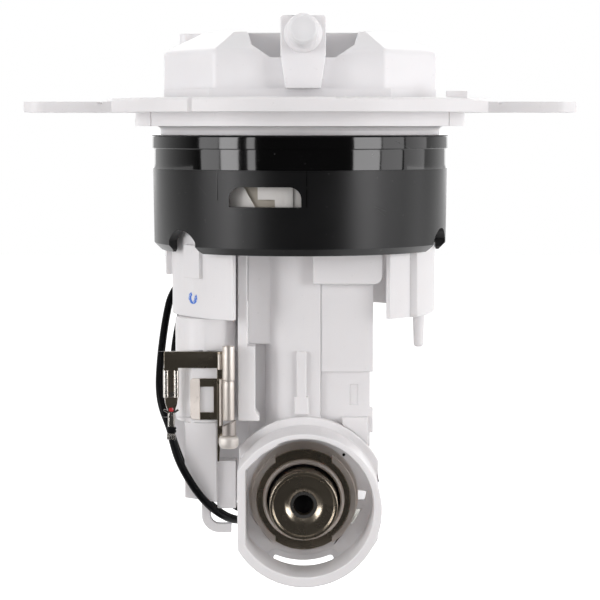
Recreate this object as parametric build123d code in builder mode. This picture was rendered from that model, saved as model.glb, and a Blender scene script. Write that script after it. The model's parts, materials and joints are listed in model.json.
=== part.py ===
from build123d import *

from math import cos, degrees, pi, radians, sin, tan
import os

# In-tank fuel pump module. Millimetres, +Z up, +X to the right of the outlet nipple, which points
# along -Y. The origin is the centre of the flange's underside, which seats on the tank.

# ---------------------------------------------------------------- driving dimensions
fit_gap = 0.1          # between pieces that push together
running_gap = 0.05     # radial, between a shaft or a sliding valve and its bore
loose_gap = 0.3        # between pieces that only lie beside each other

# tank flange; every round size of the flange, the ring and the case follows the neck
neck_radius = 47.7
neck_wall = 2.5
neck_length = 14.0
neck_fillet = 1.6
skirt_step = 8.7
skirt_height = 4.6
skirt_groove_width = 1.0
skirt_groove_angle = 61.0
rim_step = 9.6
rim_fillet = 0.9
flange_thickness = 4.6
cover_ledge = 9.2
ear_reach = 93.2
ear_width = 40.0
ear_thickness = 3.5
ear_corner_radius = 7.0
ear_groove_width = 1.6
ear_groove_depth = 0.9
bolt_inset = 10.0
bolt_hole_radius = 3.3
index_block_x = 51.2
index_block_y = -34.0
index_block_width = 6.5
index_block_height = 2.2
rim_notch_x = -35.0
rim_notch_width = 1.6
rim_notch_depth = 0.5

# domed cover, an eight-sided prism with a sloping roof and a valley for the outlet
dome_half_x = 45.5
dome_half_y = 40.0
dome_front_half = 28.0
dome_side_half = 18.0
dome_wall_height = 15.4
dome_roof_height = 6.5
dome_roof_inset = 13.0
dome_wall = 2.2
dome_ridge_fillet = 1.6
dome_eaves_fillet = 2.6
plinth_step = 1.4
plinth_height = 2.9
valley_floor_half = 10.6
valley_shoulder_half = 16.8
valley_shoulder_rise = 4.2
valley_mouth_half = 18.4
valley_depth = 8.9
valley_reach = 24.0

# fuel outlet
outlet_x = 1.0
outlet_block_half = 7.3
outlet_block_height = 13.2
outlet_block_depth = 25.0
pedestal_top_half = 7.2
pedestal_foot_half = 5.7
pedestal_depth = 6.0
nipple_radius = 4.85
nipple_stem_radius = 4.2
nipple_length = 34.0
nipple_collar_radius = 6.0
nipple_collar_length = 2.6
nipple_groove_length = 4.0
nipple_nose_length = 7.0
nipple_chamfer = 1.1
nipple_rise = 7.35
outlet_bore_radius = 2.3
outlet_plug_radius = 4.0
outlet_plug_head = 0.5
outlet_plug_length = 5.0
outlet_spigot_radius = 4.2
outlet_spigot_length = 9.0

# electrical connector on the roof
connector_x = -31.0
connector_y = 16.0
connector_length = 22.0
connector_width = 15.0
connector_corner_radius = 3.0
connector_top = 27.3
connector_depth = 12.0
connector_wall = 1.8
connector_floor = 2.0
pin_width = 2.8
pin_thickness = 0.8
pin_height = 7.0
pin_pitch = 4.4
pin_count = 4

# black two-part ring under the flange
ring_gap_to_skirt = 2.9
ring_bead_step = 3.9
ring_bead_height = 4.4
ring_cap_step = 0.8
ring_cap_height = 11.4
ring_top_fillet = 0.9
ring_skirt_step = 0.3
ring_foot_step = 0.4
ring_skirt_height = 27.6
ring_inner_step = 0.9
ring_foot_chamfer = 2.3
ring_tongue_height = 3.6
ring_tongue_wall = 1.1
ring_tongue_inset = 1.3
ring_ledge_width = 1.8
ring_ledge_height = 1.5
slot_left = -23.0
slot_right = 0.4
slot_top = -24.2
slot_height = 6.5
slot_corner_radius = 3.9
notch_angles = (-52.0, 72.0)
notch_width = 15.0
notch_height = 7.6

# filter case and what hangs from it
case_gap = 2.3
case_wall = 2.0
case_flange_gap = 0.2
case_flange_thickness = 2.5
case_floor = -44.0
case_lower_height = 24.2
case_front_left = 29.6
case_front_right = 42.0
cap_thickness = 2.0
cap_port_radius = 5.0
cap_port_height = 10.0
cap_port_inset = 16.6
element_gap = 1.0
element_depth = 10.5
element_pleats = 44
element_height = 18.0
element_pleat_depth = 4.0
lead_gap_angles = (-116.0, -78.0)
lead_gap_height = 13.2
leg_left = 33.8
leg_front = -25.0
leg_back = -6.0
leg_fillet = 3.0
leg_bottom = -68.4
drip_pin_x = 40.2
drip_pin_y = -15.0
boss_angle = -52.4
boss_width = 9.0
boss_height = 1.2
lug_angle = -84.0
lug_width = 8.0
lug_height = 1.8
drip_pin_radius = 2.05
drip_pin_length = 10.8
drip_pin_taper = 2.0

# pump and its holder
pump_x = 3.6
pump_y = 3.0
pump_radius = 19.0
pump_wall = 1.5
pump_top = -52.0
pump_length = 68.0
holder_bore_radius = 19.4
holder_wall = 1.2
holder_bottom = -134.5
end_cap_thickness = 4.0
end_cap_spigot_radius = 4.4
end_cap_spigot_length = 14.0
magnet_thickness = 3.0
armature_radius = 14.2
armature_slots = 8
armature_length = 26.0
commutator_radius = 7.0
commutator_length = 7.0
shaft_radius = 2.0
impeller_radius = 14.5
impeller_thickness = 3.6
impeller_vanes = 24
impeller_vane_length = 2.6
chamber_plate_thickness = 4.0
inlet_radius = 4.0
brush_width = 4.0

# front faces of the holder
panel_left = 7.0
panel_right = 24.4
panel_front = -27.0
panel_top = -56.8
panel_seam = -86.4
panel_bottom = -115.5
panel_step = 1.0
panel_window_x = 18.0
panel_window_width = 2.8
panel_window_top = -90.8
panel_window_height = 6.8
panel_window_depth = 0.4
tab_right = 24.4
tab_width = 1.3
tab_top = -98.6
tab_bottom = -107.0
bridge_left = 14.2
bridge_right = 22.6
bridge_front = -28.6
bridge_top = -101.6
bridge_bottom = -112.0
duct_x = -2.5
duct_y = -18.0
duct_radius = 9.5
duct_bore_radius = 4.0
duct_bottom = -115.6
web_left = -17.4
web_right = -8.0
web_front = -24.0
web_back = -16.0
web_inset = 3.5
rib_left = -1.0
rib_width = 3.0
rib_front = -29.0
rib_top = -79.5
rib_foot_top = -94.6
rib_foot_bottom = -100.6
rib_foot_step = 0.7
lip_left = 4.3
lip_right = 27.4
lip_front = -31.0
lip_corner_radius = 3.0

# left-hand tower that carries the level sensor
tower_x = -31.3
tower_y = -20.5
tower_radius = 10.6
tower_bottom = -103.0
tower_face = -31.1
block_left = -38.5
block_right = -27.8
block_front = -30.0
block_back = -20.0
block_bottom = -130.0
block_slope = 1.6
side_block_right = -21.4
side_block_front = -28.0
side_block_top = -116.3
side_block_bottom = -132.4
rail_right = -17.5
rail_block_right = -14.9
rail_front_inset = 12.6
rail_depth = 8.0
rail_seam = -77.3
rail_bottom = -102.3
rail_claw = 1.4
rail_claw_height = 3.6
rear_case_left = -49.0
rear_case_front = -2.0
rear_case_back = 30.0
rear_case_top = -90.0
rear_case_radius = 50.0
rear_case_corner = 6.0
rear_case_flank = 12.0
rear_case_taper = 8.8
rear_case_taper_drop = 31.5
rear_case_foot = 15.0
hook_arm_width = 3.0
hook_inner_radius = 3.0
hook_left = -33.0
hook_reach = 10.0
hook_depth = 3.0
hook_y = -26.5
hook_bottom = -140.6

# level sensor, bracket and earth strap
plate_thickness = 0.8
bracket_left = -36.2
bracket_right = -27.3
bracket_top = -84.6
bracket_bottom = -101.1
bracket_window_width = 4.6
bracket_window_height = 8.3
bracket_corner_radius = 1.4
strap_left = -45.1
strap_top = -79.1
strap_height = 5.5
strap_tab_width = 4.8
strap_tab_length = 8.0
can_x = -23.6
can_y = -34.4
can_radius = 2.0
can_top = -76.9
can_bottom = -101.7
can_seam = -88.0
can_groove = 0.25
band_radius = 2.5
band_height = 5.0
tip_radius = 3.3
tip_height = 4.4
hem_radius = 0.85
hem_x = -26.4
receptacle_x = -42.8
receptacle_width = 5.4
receptacle_height = 8.7
receptacle_depth = 2.6
crimp_length = 13.8
seal_length = 1.8
seal_radius = 1.6

# leads
lead_radius = 1.3
plug_left = -16.0
plug_length = 8.0
plug_width = 11.0
plug_height = 9.0
plug_y = -9.0

# pressure regulator in its collar; its axis runs along Y
regulator_x = 1.2
regulator_z = -128.7
collar_x = 1.4
collar_z = -129.3
collar_radius = 25.3
collar_wall = 2.6
collar_bore_rise = 0.8
collar_gusset = [(-19.0, -117.4), (-12.3, -110.8), (-7.1, -107.9), (-7.1, -100.0), (-30.0, -100.0)]
collar_front = -49.7
collar_flat_x = -20.4
back_plate_front = -30.0
back_plate_thickness = 2.5
back_plate_radius = 28.1
back_plate_right = 26.2
socket_radius = 12.5
socket_bore_radius = 9.6
drain_slot_radius = 20.8
drain_slot_width = 3.6
drain_slot_angle = 56.0
upper_window = [(18.6, -125.8), (22.3, -126.3), (21.6, -129.2), (18.6, -129.2)]
lower_window = [(13.6, -132.4), (20.4, -132.4), (17.7, -137.3), (14.0, -137.3)]
pin_hole_x = 14.0
pin_hole_z = -119.6
pin_hole_radius = 0.5
regulator_flange_radius = 15.5
regulator_tab_radius = 16.9
regulator_tab_half = 9.4
regulator_flange_thickness = 1.2
retainer_radius = 17.5
retainer_base_radius = 18.2
retainer_base_rise = 1.2
retainer_base_thickness = 0.6
retainer_thickness = 1.1
bead_radius = 13.3
bead_thickness = 1.9
cup_radius = 11.3
cup_length = 12.0
cup_wall = 0.8
cup_rim_radius = 1.0
cup_dish_radius = 6.2
cup_dish_depth = 0.9
cup_hole_radius = 3.1
regulator_body_length = 8.0
regulator_body_radius = 9.2
regulator_bore_radius = 2.4
valve_radius = 4.6
valve_thickness = 2.0
valve_stem_length = 5.0
spring_inner_radius = 3.4
spring_outer_radius = 4.4
o_ring_section = 1.2

# check valve in the pump's spigot and relief valve in its end cap
check_radius = 2.3
check_length = 5.0
check_spring_length = 4.0
relief_x = 11.0
relief_radius = 1.7
relief_length = 3.0
relief_travel = 1.0

# inlet strainer
strainer_length = 30.0
strainer_width = 40.0
strainer_height = 12.0
strainer_neck_radius = 6.0
strainer_neck_length = 3.0
strainer_shift_x = 4.0
strainer_shift_y = 12.0

# ---------------------------------------------------------------- sizes and levels that follow
skirt_radius = neck_radius + skirt_step
flange_radius = skirt_radius + rim_step
bolt_spacing = 2 * (ear_reach - bolt_inset)
ring_bead_radius = neck_radius + ring_bead_step
ring_cap_radius = ring_bead_radius - ring_cap_step
ring_skirt_radius = ring_cap_radius - ring_skirt_step
ring_foot_radius = ring_skirt_radius - ring_foot_step
ring_inner_radius = neck_radius - ring_inner_step
ring_ledge_radius = ring_inner_radius - ring_ledge_width
tongue_inner = ring_skirt_radius - ring_tongue_inset - ring_tongue_wall
case_radius = ring_inner_radius - case_gap
case_flange_radius = ring_inner_radius - case_flange_gap
cap_port_y = cap_port_inset - case_radius
element_outer_radius = case_radius - case_wall - element_gap
element_inner_radius = element_outer_radius - element_depth
skirt_bottom = -skirt_height
neck_bottom = skirt_bottom - neck_length
neck_bore_radius = neck_radius - neck_wall
flange_opening_radius = neck_bore_radius - cover_ledge
dome_base = flange_thickness
dome_eaves = dome_base + dome_wall_height
dome_top = dome_eaves + dome_roof_height
valley_floor = dome_top - valley_depth
nipple_z = valley_floor + nipple_rise
outlet_back = -dome_half_y - pedestal_depth + outlet_block_depth
outlet_front = -dome_half_y - pedestal_depth
ring_top = skirt_bottom - ring_gap_to_skirt
ring_seam = ring_top - ring_cap_height
ring_bottom = ring_seam - ring_skirt_height
case_lower_bottom = case_floor - case_lower_height
pump_bottom = pump_top - pump_length
holder_radius = holder_bore_radius + holder_wall
lip_bottom = panel_top
rail_front = rail_front_inset - case_radius
rail_back = rail_front + rail_depth
flange_back = back_plate_front - retainer_base_thickness
flange_face = flange_back - regulator_flange_thickness

os.makedirs("parts", exist_ok=True)


def save(builder, name):
    """Label one finished piece and write its STEP file."""
    builder.part.label = name
    export_step(builder.part, f"parts/{name}.step")


def eight_sided(half_x, half_y, front_half, side_half):
    """Corner points of an octagon with flats on all four sides."""
    return [
        (-front_half, -half_y), (front_half, -half_y),
        (half_x, -side_half), (half_x, side_half),
        (front_half, half_y), (-front_half, half_y),
        (-half_x, side_half), (-half_x, -side_half),
    ]


def wedge(first, last, reach):
    """Corner points of a wedge from the Z axis; angles in degrees from the front towards +X."""
    return [(0, 0)] + [
        (reach * sin(radians(a)), -reach * cos(radians(a))) for a in (first, last)
    ]


def facing(y):
    """Plane at this Y whose normal points to the front, along -Y."""
    return Plane.XZ.offset(-y)


def radial(angle, radius, height):
    """Plane on a cylinder about Z: angle in degrees from the front towards +X, normal outwards."""
    out = (sin(radians(angle)), -cos(radians(angle)), 0)
    return Plane(
        origin=(radius * out[0], radius * out[1], height),
        x_dir=(-out[1], out[0], 0),
        z_dir=out,
    )


# ---------------------------------------------------------------- flange
with BuildPart() as flange_plate:
    with BuildSketch():
        Circle(flange_radius)
        Circle(flange_opening_radius, mode=Mode.SUBTRACT)
    extrude(amount=flange_thickness)
    rim = flange_plate.edges().filter_by(GeomType.CIRCLE).filter_by(
        lambda e: abs(e.radius - flange_radius) < 0.01 and e.center().Z > flange_thickness / 2
    )
    fillet(rim, rim_fillet)
    with BuildSketch():
        RectangleRounded(2 * ear_reach, ear_width, ear_corner_radius)
        Circle(flange_radius - fit_gap, mode=Mode.SUBTRACT)
    extrude(amount=ear_thickness)
    with BuildSketch():
        with GridLocations(bolt_spacing, 0, 2, 1):
            Circle(bolt_hole_radius)
    extrude(amount=ear_thickness, mode=Mode.SUBTRACT)
    # a groove across the root of each ear
    with BuildSketch(Plane.XY.offset(ear_thickness)):
        with GridLocations(2 * flange_radius + ear_groove_width, 0, 2, 1):
            Rectangle(ear_groove_width, ear_width)
    extrude(amount=-ear_groove_depth, mode=Mode.SUBTRACT)
    # skirt that centres the module in the tank, and the neck that the ring snaps onto
    with BuildSketch(Plane.XY):
        Circle(skirt_radius)
        Circle(neck_bore_radius, mode=Mode.SUBTRACT)
        # shallow grooves between the skirt's front and its side lugs
        for angle in (-90 - skirt_groove_angle, -90 + skirt_groove_angle):
            with PolarLocations(skirt_radius, 1, start_angle=angle):
                Rectangle(skirt_groove_width, skirt_groove_width, mode=Mode.SUBTRACT)
    extrude(amount=-skirt_height)
    with BuildSketch(Plane.XY.offset(skirt_bottom)):
        Circle(neck_radius)
        Circle(neck_bore_radius, mode=Mode.SUBTRACT)
    extrude(amount=-neck_length)
    neck_root = flange_plate.edges().filter_by(GeomType.CIRCLE).filter_by(
        lambda e: abs(e.radius - neck_radius) < 0.01 and abs(e.center().Z - skirt_bottom) < 0.01
    )
    fillet(neck_root, neck_fillet)
    with BuildSketch(Plane.XY.offset(flange_thickness)):
        with Locations((index_block_x, index_block_y)):
            Rectangle(index_block_width, index_block_width)
    extrude(amount=index_block_height)
    with BuildSketch(Plane.XY):
        with Locations((rim_notch_x, -((flange_radius**2 - rim_notch_x**2) ** 0.5))):
            Rectangle(rim_notch_width, 2 * rim_notch_depth)
    extrude(amount=flange_thickness, mode=Mode.SUBTRACT)
save(flange_plate, "flange_plate")

# ---------------------------------------------------------------- domed cover
with BuildPart() as dome_cavity:
    with BuildSketch(Plane.XY.offset(dome_base)):
        with BuildLine():
            Polyline(*eight_sided(
                dome_half_x - dome_wall, dome_half_y - dome_wall,
                dome_front_half - dome_wall / 2, dome_side_half - dome_wall / 2,
            ), close=True)
        make_face()
    extrude(amount=dome_wall_height - dome_wall)
    with BuildSketch(Plane.XY.offset(dome_eaves - dome_wall)):
        with BuildLine():
            Polyline(*eight_sided(
                dome_half_x - dome_wall, dome_half_y - dome_wall,
                dome_front_half - dome_wall / 2, dome_side_half - dome_wall / 2,
            ), close=True)
        make_face()
    with BuildSketch(Plane.XY.offset(dome_top - dome_wall)):
        with BuildLine():
            Polyline(*eight_sided(
                dome_half_x - dome_roof_inset - dome_wall, dome_half_y - dome_roof_inset - dome_wall,
                dome_front_half - dome_roof_inset / 2 - dome_wall / 2,
                dome_side_half - dome_roof_inset / 2 - dome_wall / 2,
            ), close=True)
        make_face()
    loft()
    # the valley's own wall
    with BuildSketch(facing(-dome_half_y - 1)):
        with BuildLine():
            Polyline(
                (outlet_x - valley_floor_half - dome_wall, valley_floor - dome_wall),
                (outlet_x + valley_floor_half + dome_wall, valley_floor - dome_wall),
                (outlet_x + valley_shoulder_half + dome_wall, valley_floor + valley_shoulder_rise),
                (outlet_x + valley_mouth_half + dome_wall, dome_top),
                (outlet_x - valley_mouth_half - dome_wall, dome_top),
                (outlet_x - valley_shoulder_half - dome_wall, valley_floor + valley_shoulder_rise),
                close=True,
            )
        make_face()
    extrude(amount=-(valley_reach + 1 + dome_wall), mode=Mode.SUBTRACT)

with BuildPart() as dome_cover:
    with BuildSketch(Plane.XY.offset(dome_base)):
        with BuildLine():
            Polyline(*eight_sided(
                dome_half_x, dome_half_y, dome_front_half, dome_side_half,
            ), close=True)
        make_face()
    extrude(amount=dome_wall_height)
    with BuildSketch(Plane.XY.offset(dome_eaves)):
        with BuildLine():
            Polyline(*eight_sided(
                dome_half_x, dome_half_y, dome_front_half, dome_side_half,
            ), close=True)
        make_face()
    with BuildSketch(Plane.XY.offset(dome_top)):
        with BuildLine():
            Polyline(*eight_sided(
                dome_half_x - dome_roof_inset, dome_half_y - dome_roof_inset,
                dome_front_half - dome_roof_inset / 2, dome_side_half - dome_roof_inset / 2,
            ), close=True)
        make_face()
    loft()
    eaves = dome_cover.edges().filter_by(
        lambda e: abs(e.center().Z - dome_eaves) < 0.01 and abs(e.tangent_at(0).Z) < 0.01
    )
    fillet(eaves + dome_cover.edges().filter_by(Axis.Z), dome_eaves_fillet)
    fillet(dome_cover.faces().sort_by(Axis.Z)[-1].edges(), dome_ridge_fillet)
    with BuildSketch(Plane.XY.offset(dome_base)):
        with BuildLine():
            Polyline(*eight_sided(
                dome_half_x, dome_half_y + plinth_step,
                dome_front_half + plinth_step, dome_side_half,
            ), close=True)
        make_face()
    extrude(amount=plinth_height)
    with BuildSketch(facing(-dome_half_y - 1)):
        with BuildLine():
            Polyline(
                (outlet_x - valley_floor_half, valley_floor),
                (outlet_x + valley_floor_half, valley_floor),
                (outlet_x + valley_shoulder_half, valley_floor + valley_shoulder_rise),
                (outlet_x + valley_mouth_half, dome_top),
                (outlet_x - valley_mouth_half, dome_top),
                (outlet_x - valley_shoulder_half, valley_floor + valley_shoulder_rise),
                close=True,
            )
        make_face()
    extrude(amount=-(valley_reach + 1), mode=Mode.SUBTRACT)
    add(dome_cavity.part, mode=Mode.SUBTRACT)
    # seat of the connector, and hole for the outlet's spigot
    with BuildSketch(Plane.XY.offset(connector_top - connector_depth)):
        with Locations((connector_x, connector_y)):
            RectangleRounded(
                connector_length + 2 * fit_gap, connector_width + 2 * fit_gap,
                connector_corner_radius + fit_gap,
            )
    extrude(amount=connector_depth, mode=Mode.SUBTRACT)
    with BuildSketch(Plane.XY.offset(valley_floor)):
        with Locations((outlet_x, cap_port_y)):
            Circle(outlet_spigot_radius + fit_gap)
    extrude(amount=-2 * dome_wall, mode=Mode.SUBTRACT)
    # the pedestal's foot stands in front of the wall, on the plinth
    with BuildSketch(Plane.XY.offset(dome_base + plinth_height)):
        with Locations((outlet_x, -dome_half_y - pedestal_depth / 2)):
            Rectangle(2 * pedestal_foot_half, pedestal_depth)
save(dome_cover, "dome_cover")

# ---------------------------------------------------------------- fuel outlet
with BuildPart() as outlet_fitting:
    with BuildSketch(Plane.XY.offset(valley_floor)):
        with Locations((outlet_x, (outlet_front + outlet_back) / 2)):
            Rectangle(2 * outlet_block_half, outlet_block_depth)
    extrude(amount=outlet_block_height)
    fillet(outlet_fitting.edges().filter_by(Axis.Y).group_by(Axis.Z)[-1], 1.0)
    # pedestal in front of the dome's wall
    with BuildSketch(Plane.XY.offset(valley_floor)):
        with Locations((outlet_x, -dome_half_y - pedestal_depth / 2)):
            Rectangle(2 * pedestal_top_half, pedestal_depth)
    with BuildSketch(Plane.XY.offset(dome_base + plinth_height)):
        with Locations((outlet_x, -dome_half_y - pedestal_depth / 2)):
            Rectangle(2 * pedestal_foot_half, pedestal_depth)
    loft()
    # nipple: collar, waisted stem and rounded nose
    with BuildSketch(Plane.XY.offset(nipple_z)):
        with BuildLine():
            nose = outlet_front - nipple_length
            Polyline(
                (outlet_x, outlet_front + 2),
                (outlet_x + nipple_collar_radius, outlet_front + 2),
                (outlet_x + nipple_collar_radius, outlet_front - nipple_collar_length),
                (outlet_x + nipple_radius, outlet_front - nipple_collar_length - 1.1),
                (outlet_x + nipple_radius, nose + nipple_nose_length + nipple_groove_length),
                (outlet_x + nipple_stem_radius, nose + nipple_nose_length + nipple_groove_length - 0.6),
                (outlet_x + nipple_stem_radius, nose + nipple_nose_length + 0.6),
                (outlet_x + nipple_radius, nose + nipple_nose_length),
                (outlet_x + nipple_radius, nose + nipple_chamfer),
                (outlet_x + nipple_radius - nipple_chamfer, nose),
                (outlet_x, nose),
                close=True,
            )
        make_face()
    revolve(axis=Axis((outlet_x, 0, nipple_z), (0, 1, 0)))
    # spigot down through the valley's floor
    with BuildSketch(Plane.XY.offset(valley_floor)):
        with Locations((outlet_x, cap_port_y)):
            Circle(outlet_spigot_radius)
    extrude(amount=-outlet_spigot_length)
    # the way for the fuel: along the nipple, then down the spigot
    with BuildSketch(facing(nose)):
        with Locations((outlet_x, nipple_z)):
            Circle(outlet_bore_radius)
    extrude(amount=nose - cap_port_y, mode=Mode.SUBTRACT)
    with BuildSketch(Plane.XY.offset(nipple_z)):
        with Locations((outlet_x, cap_port_y)):
            Circle(outlet_bore_radius)
    extrude(amount=-(nipple_z - valley_floor + outlet_spigot_length), mode=Mode.SUBTRACT)
save(outlet_fitting, "outlet_fitting")

with BuildPart() as outlet_plug:
    with BuildSketch(facing(nose)):
        with Locations((outlet_x, nipple_z)):
            Circle(outlet_plug_radius)
    extrude(amount=outlet_plug_head)
    fillet(outlet_plug.faces().sort_by(Axis.Y)[0].edges(), outlet_plug_head / 2)
    with BuildSketch(facing(nose)):
        with Locations((outlet_x, nipple_z)):
            Circle(outlet_bore_radius - running_gap)
    extrude(amount=-outlet_plug_length)
save(outlet_plug, "outlet_plug")

# ---------------------------------------------------------------- electrical connector
with BuildPart() as connector_shroud:
    with BuildSketch(Plane.XY.offset(connector_top - connector_depth)):
        with Locations((connector_x, connector_y)):
            RectangleRounded(connector_length, connector_width, connector_corner_radius)
    extrude(amount=connector_depth)
    with BuildSketch(Plane.XY.offset(connector_top)):
        with Locations((connector_x, connector_y)):
            RectangleRounded(
                connector_length - 2 * connector_wall, connector_width - 2 * connector_wall,
                connector_corner_radius - connector_wall / 2,
            )
    extrude(amount=-(connector_depth - connector_floor), mode=Mode.SUBTRACT)
save(connector_shroud, "connector_shroud")

with BuildPart() as connector_pins:
    pin_foot = connector_top - connector_depth + connector_floor
    with BuildSketch(Plane.XY.offset(pin_foot)):
        with Locations((connector_x, connector_y)):
            Rectangle(pin_pitch * pin_count, 2 * pin_thickness)
    extrude(amount=pin_thickness)
    with BuildSketch(Plane.XY.offset(pin_foot + pin_thickness)):
        with Locations((connector_x, connector_y)):
            with GridLocations(pin_pitch, 0, pin_count, 1):
                Rectangle(pin_width, pin_thickness)
    extrude(amount=pin_height)
save(connector_pins, "connector_pins")

# ---------------------------------------------------------------- black ring
with BuildPart() as ring_cap:
    with BuildSketch(Plane.XZ):
        with BuildLine():
            Polyline(
                (neck_radius + fit_gap, ring_top - neck_fillet),
                (neck_radius + fit_gap + neck_fillet, ring_top),
                (ring_bead_radius, ring_top),
                (ring_bead_radius, ring_top - ring_bead_height),
                (ring_cap_radius, ring_top - ring_bead_height - 0.5),
                (ring_cap_radius, ring_seam),
                (tongue_inner + ring_tongue_wall + fit_gap, ring_seam),
                (tongue_inner + ring_tongue_wall + fit_gap, ring_seam + ring_tongue_height + fit_gap),
                (neck_radius + fit_gap, ring_seam + ring_tongue_height + fit_gap),
                close=True,
            )
        make_face()
    revolve(axis=Axis.Z)
    top_edge = ring_cap.edges().filter_by(GeomType.CIRCLE).filter_by(
        lambda e: abs(e.radius - ring_bead_radius) < 0.01
    )
    fillet(top_edge, ring_top_fillet)
save(ring_cap, "ring_cap")

with BuildPart() as ring_skirt:
    with BuildSketch(Plane.XZ):
        with BuildLine():
            ledge_top = neck_bottom - case_flange_thickness
            Polyline(
                (tongue_inner, ring_seam + ring_tongue_height),
                (tongue_inner + ring_tongue_wall, ring_seam + ring_tongue_height),
                (tongue_inner + ring_tongue_wall, ring_seam),
                (ring_skirt_radius, ring_seam),
                (ring_foot_radius, ring_bottom + ring_foot_chamfer),
                (ring_foot_radius - ring_foot_chamfer, ring_bottom),
                (ring_inner_radius, ring_bottom),
                (ring_inner_radius, ledge_top - ring_ledge_height),
                (ring_ledge_radius, ledge_top - ring_ledge_height + 0.6),
                (ring_ledge_radius, ledge_top),
                (ring_inner_radius, ledge_top),
                (ring_inner_radius, ring_seam),
                (tongue_inner, ring_seam),
                close=True,
            )
        make_face()
    revolve(axis=Axis.Z)
    # window in the front, with round upper corners
    with BuildSketch(facing(0)):
        with Locations(((slot_left + slot_right) / 2, slot_top - slot_height / 2)):
            slot = Rectangle(slot_right - slot_left, slot_height)
            fillet(slot.vertices().group_by(Axis.Y)[-1], slot_corner_radius)
    extrude(amount=ring_skirt_radius + 1, mode=Mode.SUBTRACT)
    # arched notches in the lower edge, where the snaps of the case show
    for angle in notch_angles:
        with BuildSketch(radial(angle, ring_inner_radius - 3, ring_bottom)):
            with BuildLine():
                Polyline(
                    (-notch_width / 2 - 2, -1), (-notch_width / 2, 1), (-notch_width / 2, notch_height / 2),
                )
                ThreePointArc(
                    (-notch_width / 2, notch_height / 2), (0, notch_height),
                    (notch_width / 2, notch_height / 2),
                )
                Polyline(
                    (notch_width / 2, notch_height / 2), (notch_width / 2, 1), (notch_width / 2 + 2, -1),
                )
                Line((notch_width / 2 + 2, -1), (-notch_width / 2 - 2, -1))
            make_face()
        extrude(amount=ring_skirt_radius - ring_inner_radius + 6, mode=Mode.SUBTRACT)
save(ring_skirt, "ring_skirt")

# ---------------------------------------------------------------- filter case
with BuildPart() as filter_case:
    with BuildSketch(Plane.XY.offset(case_floor)):
        Circle(case_radius)
    extrude(amount=neck_bottom - case_floor)
    with BuildSketch(Plane.XY.offset(neck_bottom)):
        Circle(case_flange_radius)
    extrude(amount=-case_flange_thickness)
    with BuildSketch(Plane.XY.offset(case_floor + case_wall)):
        Circle(case_radius - case_wall)
    extrude(amount=neck_bottom - case_floor - case_wall, mode=Mode.SUBTRACT)
    # hole in the floor for the pump's spigot
    with BuildSketch(Plane.XY.offset(case_floor)):
        with Locations((pump_x, pump_y)):
            Circle(end_cap_spigot_radius + fit_gap)
    extrude(amount=case_wall, mode=Mode.SUBTRACT)
    # wall below the floor, open at the front; above the gap for the leads it has a boss and a lug
    lead_gap_top = case_lower_bottom + lead_gap_height
    front_gap = (-case_front_left, case_front_right)
    bosses = [(boss_angle, boss_width, boss_height), (lug_angle, lug_width, lug_height)]
    for wall_top, wall_bottom, gaps, added in (
        (case_floor, lead_gap_top, [front_gap], bosses),
        (lead_gap_top, case_lower_bottom, [front_gap, lead_gap_angles], []),
    ):
        with BuildSketch(Plane.XY.offset(wall_top)):
            Circle(case_radius)
            for angle, width, height in added:
                with PolarLocations(case_radius + (height - case_wall) / 2, 1, start_angle=angle - 90):
                    Rectangle(case_wall + height, width)
            Circle(case_radius - case_wall, mode=Mode.SUBTRACT)
            for first, last in gaps:
                with BuildLine():
                    Polyline(*wedge(first, last, 2 * case_radius), close=True)
                make_face(mode=Mode.SUBTRACT)
            with Locations((leg_left - fit_gap + case_radius / 2, (leg_front + leg_back) / 2)):
                Rectangle(case_radius, leg_back - leg_front + 2 * fit_gap, mode=Mode.SUBTRACT)
        extrude(amount=wall_bottom - wall_top)
save(filter_case, "filter_case")

with BuildPart() as filter_case_cap:
    with BuildSketch(Plane.XY.offset(neck_bottom)):
        Circle(case_radius - case_wall - fit_gap)
    extrude(amount=-cap_thickness)
    with BuildSketch(Plane.XY.offset(neck_bottom)):
        with Locations((outlet_x, cap_port_y)):
            Circle(cap_port_radius)
    extrude(amount=cap_port_height)
    with BuildSketch(Plane.XY.offset(neck_bottom + cap_port_height)):
        with Locations((outlet_x, cap_port_y)):
            Circle(outlet_bore_radius)
    extrude(amount=-cap_port_height - cap_thickness, mode=Mode.SUBTRACT)
save(filter_case_cap, "filter_case_cap")

with BuildPart() as feed_tube:
    feed_bottom = neck_bottom + cap_port_height
    feed_top = valley_floor - outlet_spigot_length
    with BuildSketch(Plane.XY.offset(feed_bottom)):
        with Locations((outlet_x, cap_port_y)):
            Circle(outlet_spigot_radius)
            Circle(outlet_bore_radius, mode=Mode.SUBTRACT)
    extrude(amount=feed_top - feed_bottom)
save(feed_tube, "feed_tube")

with BuildPart() as filter_element:
    with BuildSketch(Plane.XY.offset(case_floor + case_wall)):
        with BuildLine():
            step = 180.0 / element_pleats
            Polyline(*[
                (
                    (element_outer_radius - (i % 2) * element_pleat_depth) * cos(radians(i * step)),
                    (element_outer_radius - (i % 2) * element_pleat_depth) * sin(radians(i * step)),
                )
                for i in range(2 * element_pleats)
            ], close=True)
        make_face()
        Circle(element_inner_radius, mode=Mode.SUBTRACT)
    extrude(amount=element_height)
save(filter_element, "filter_element")

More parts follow.
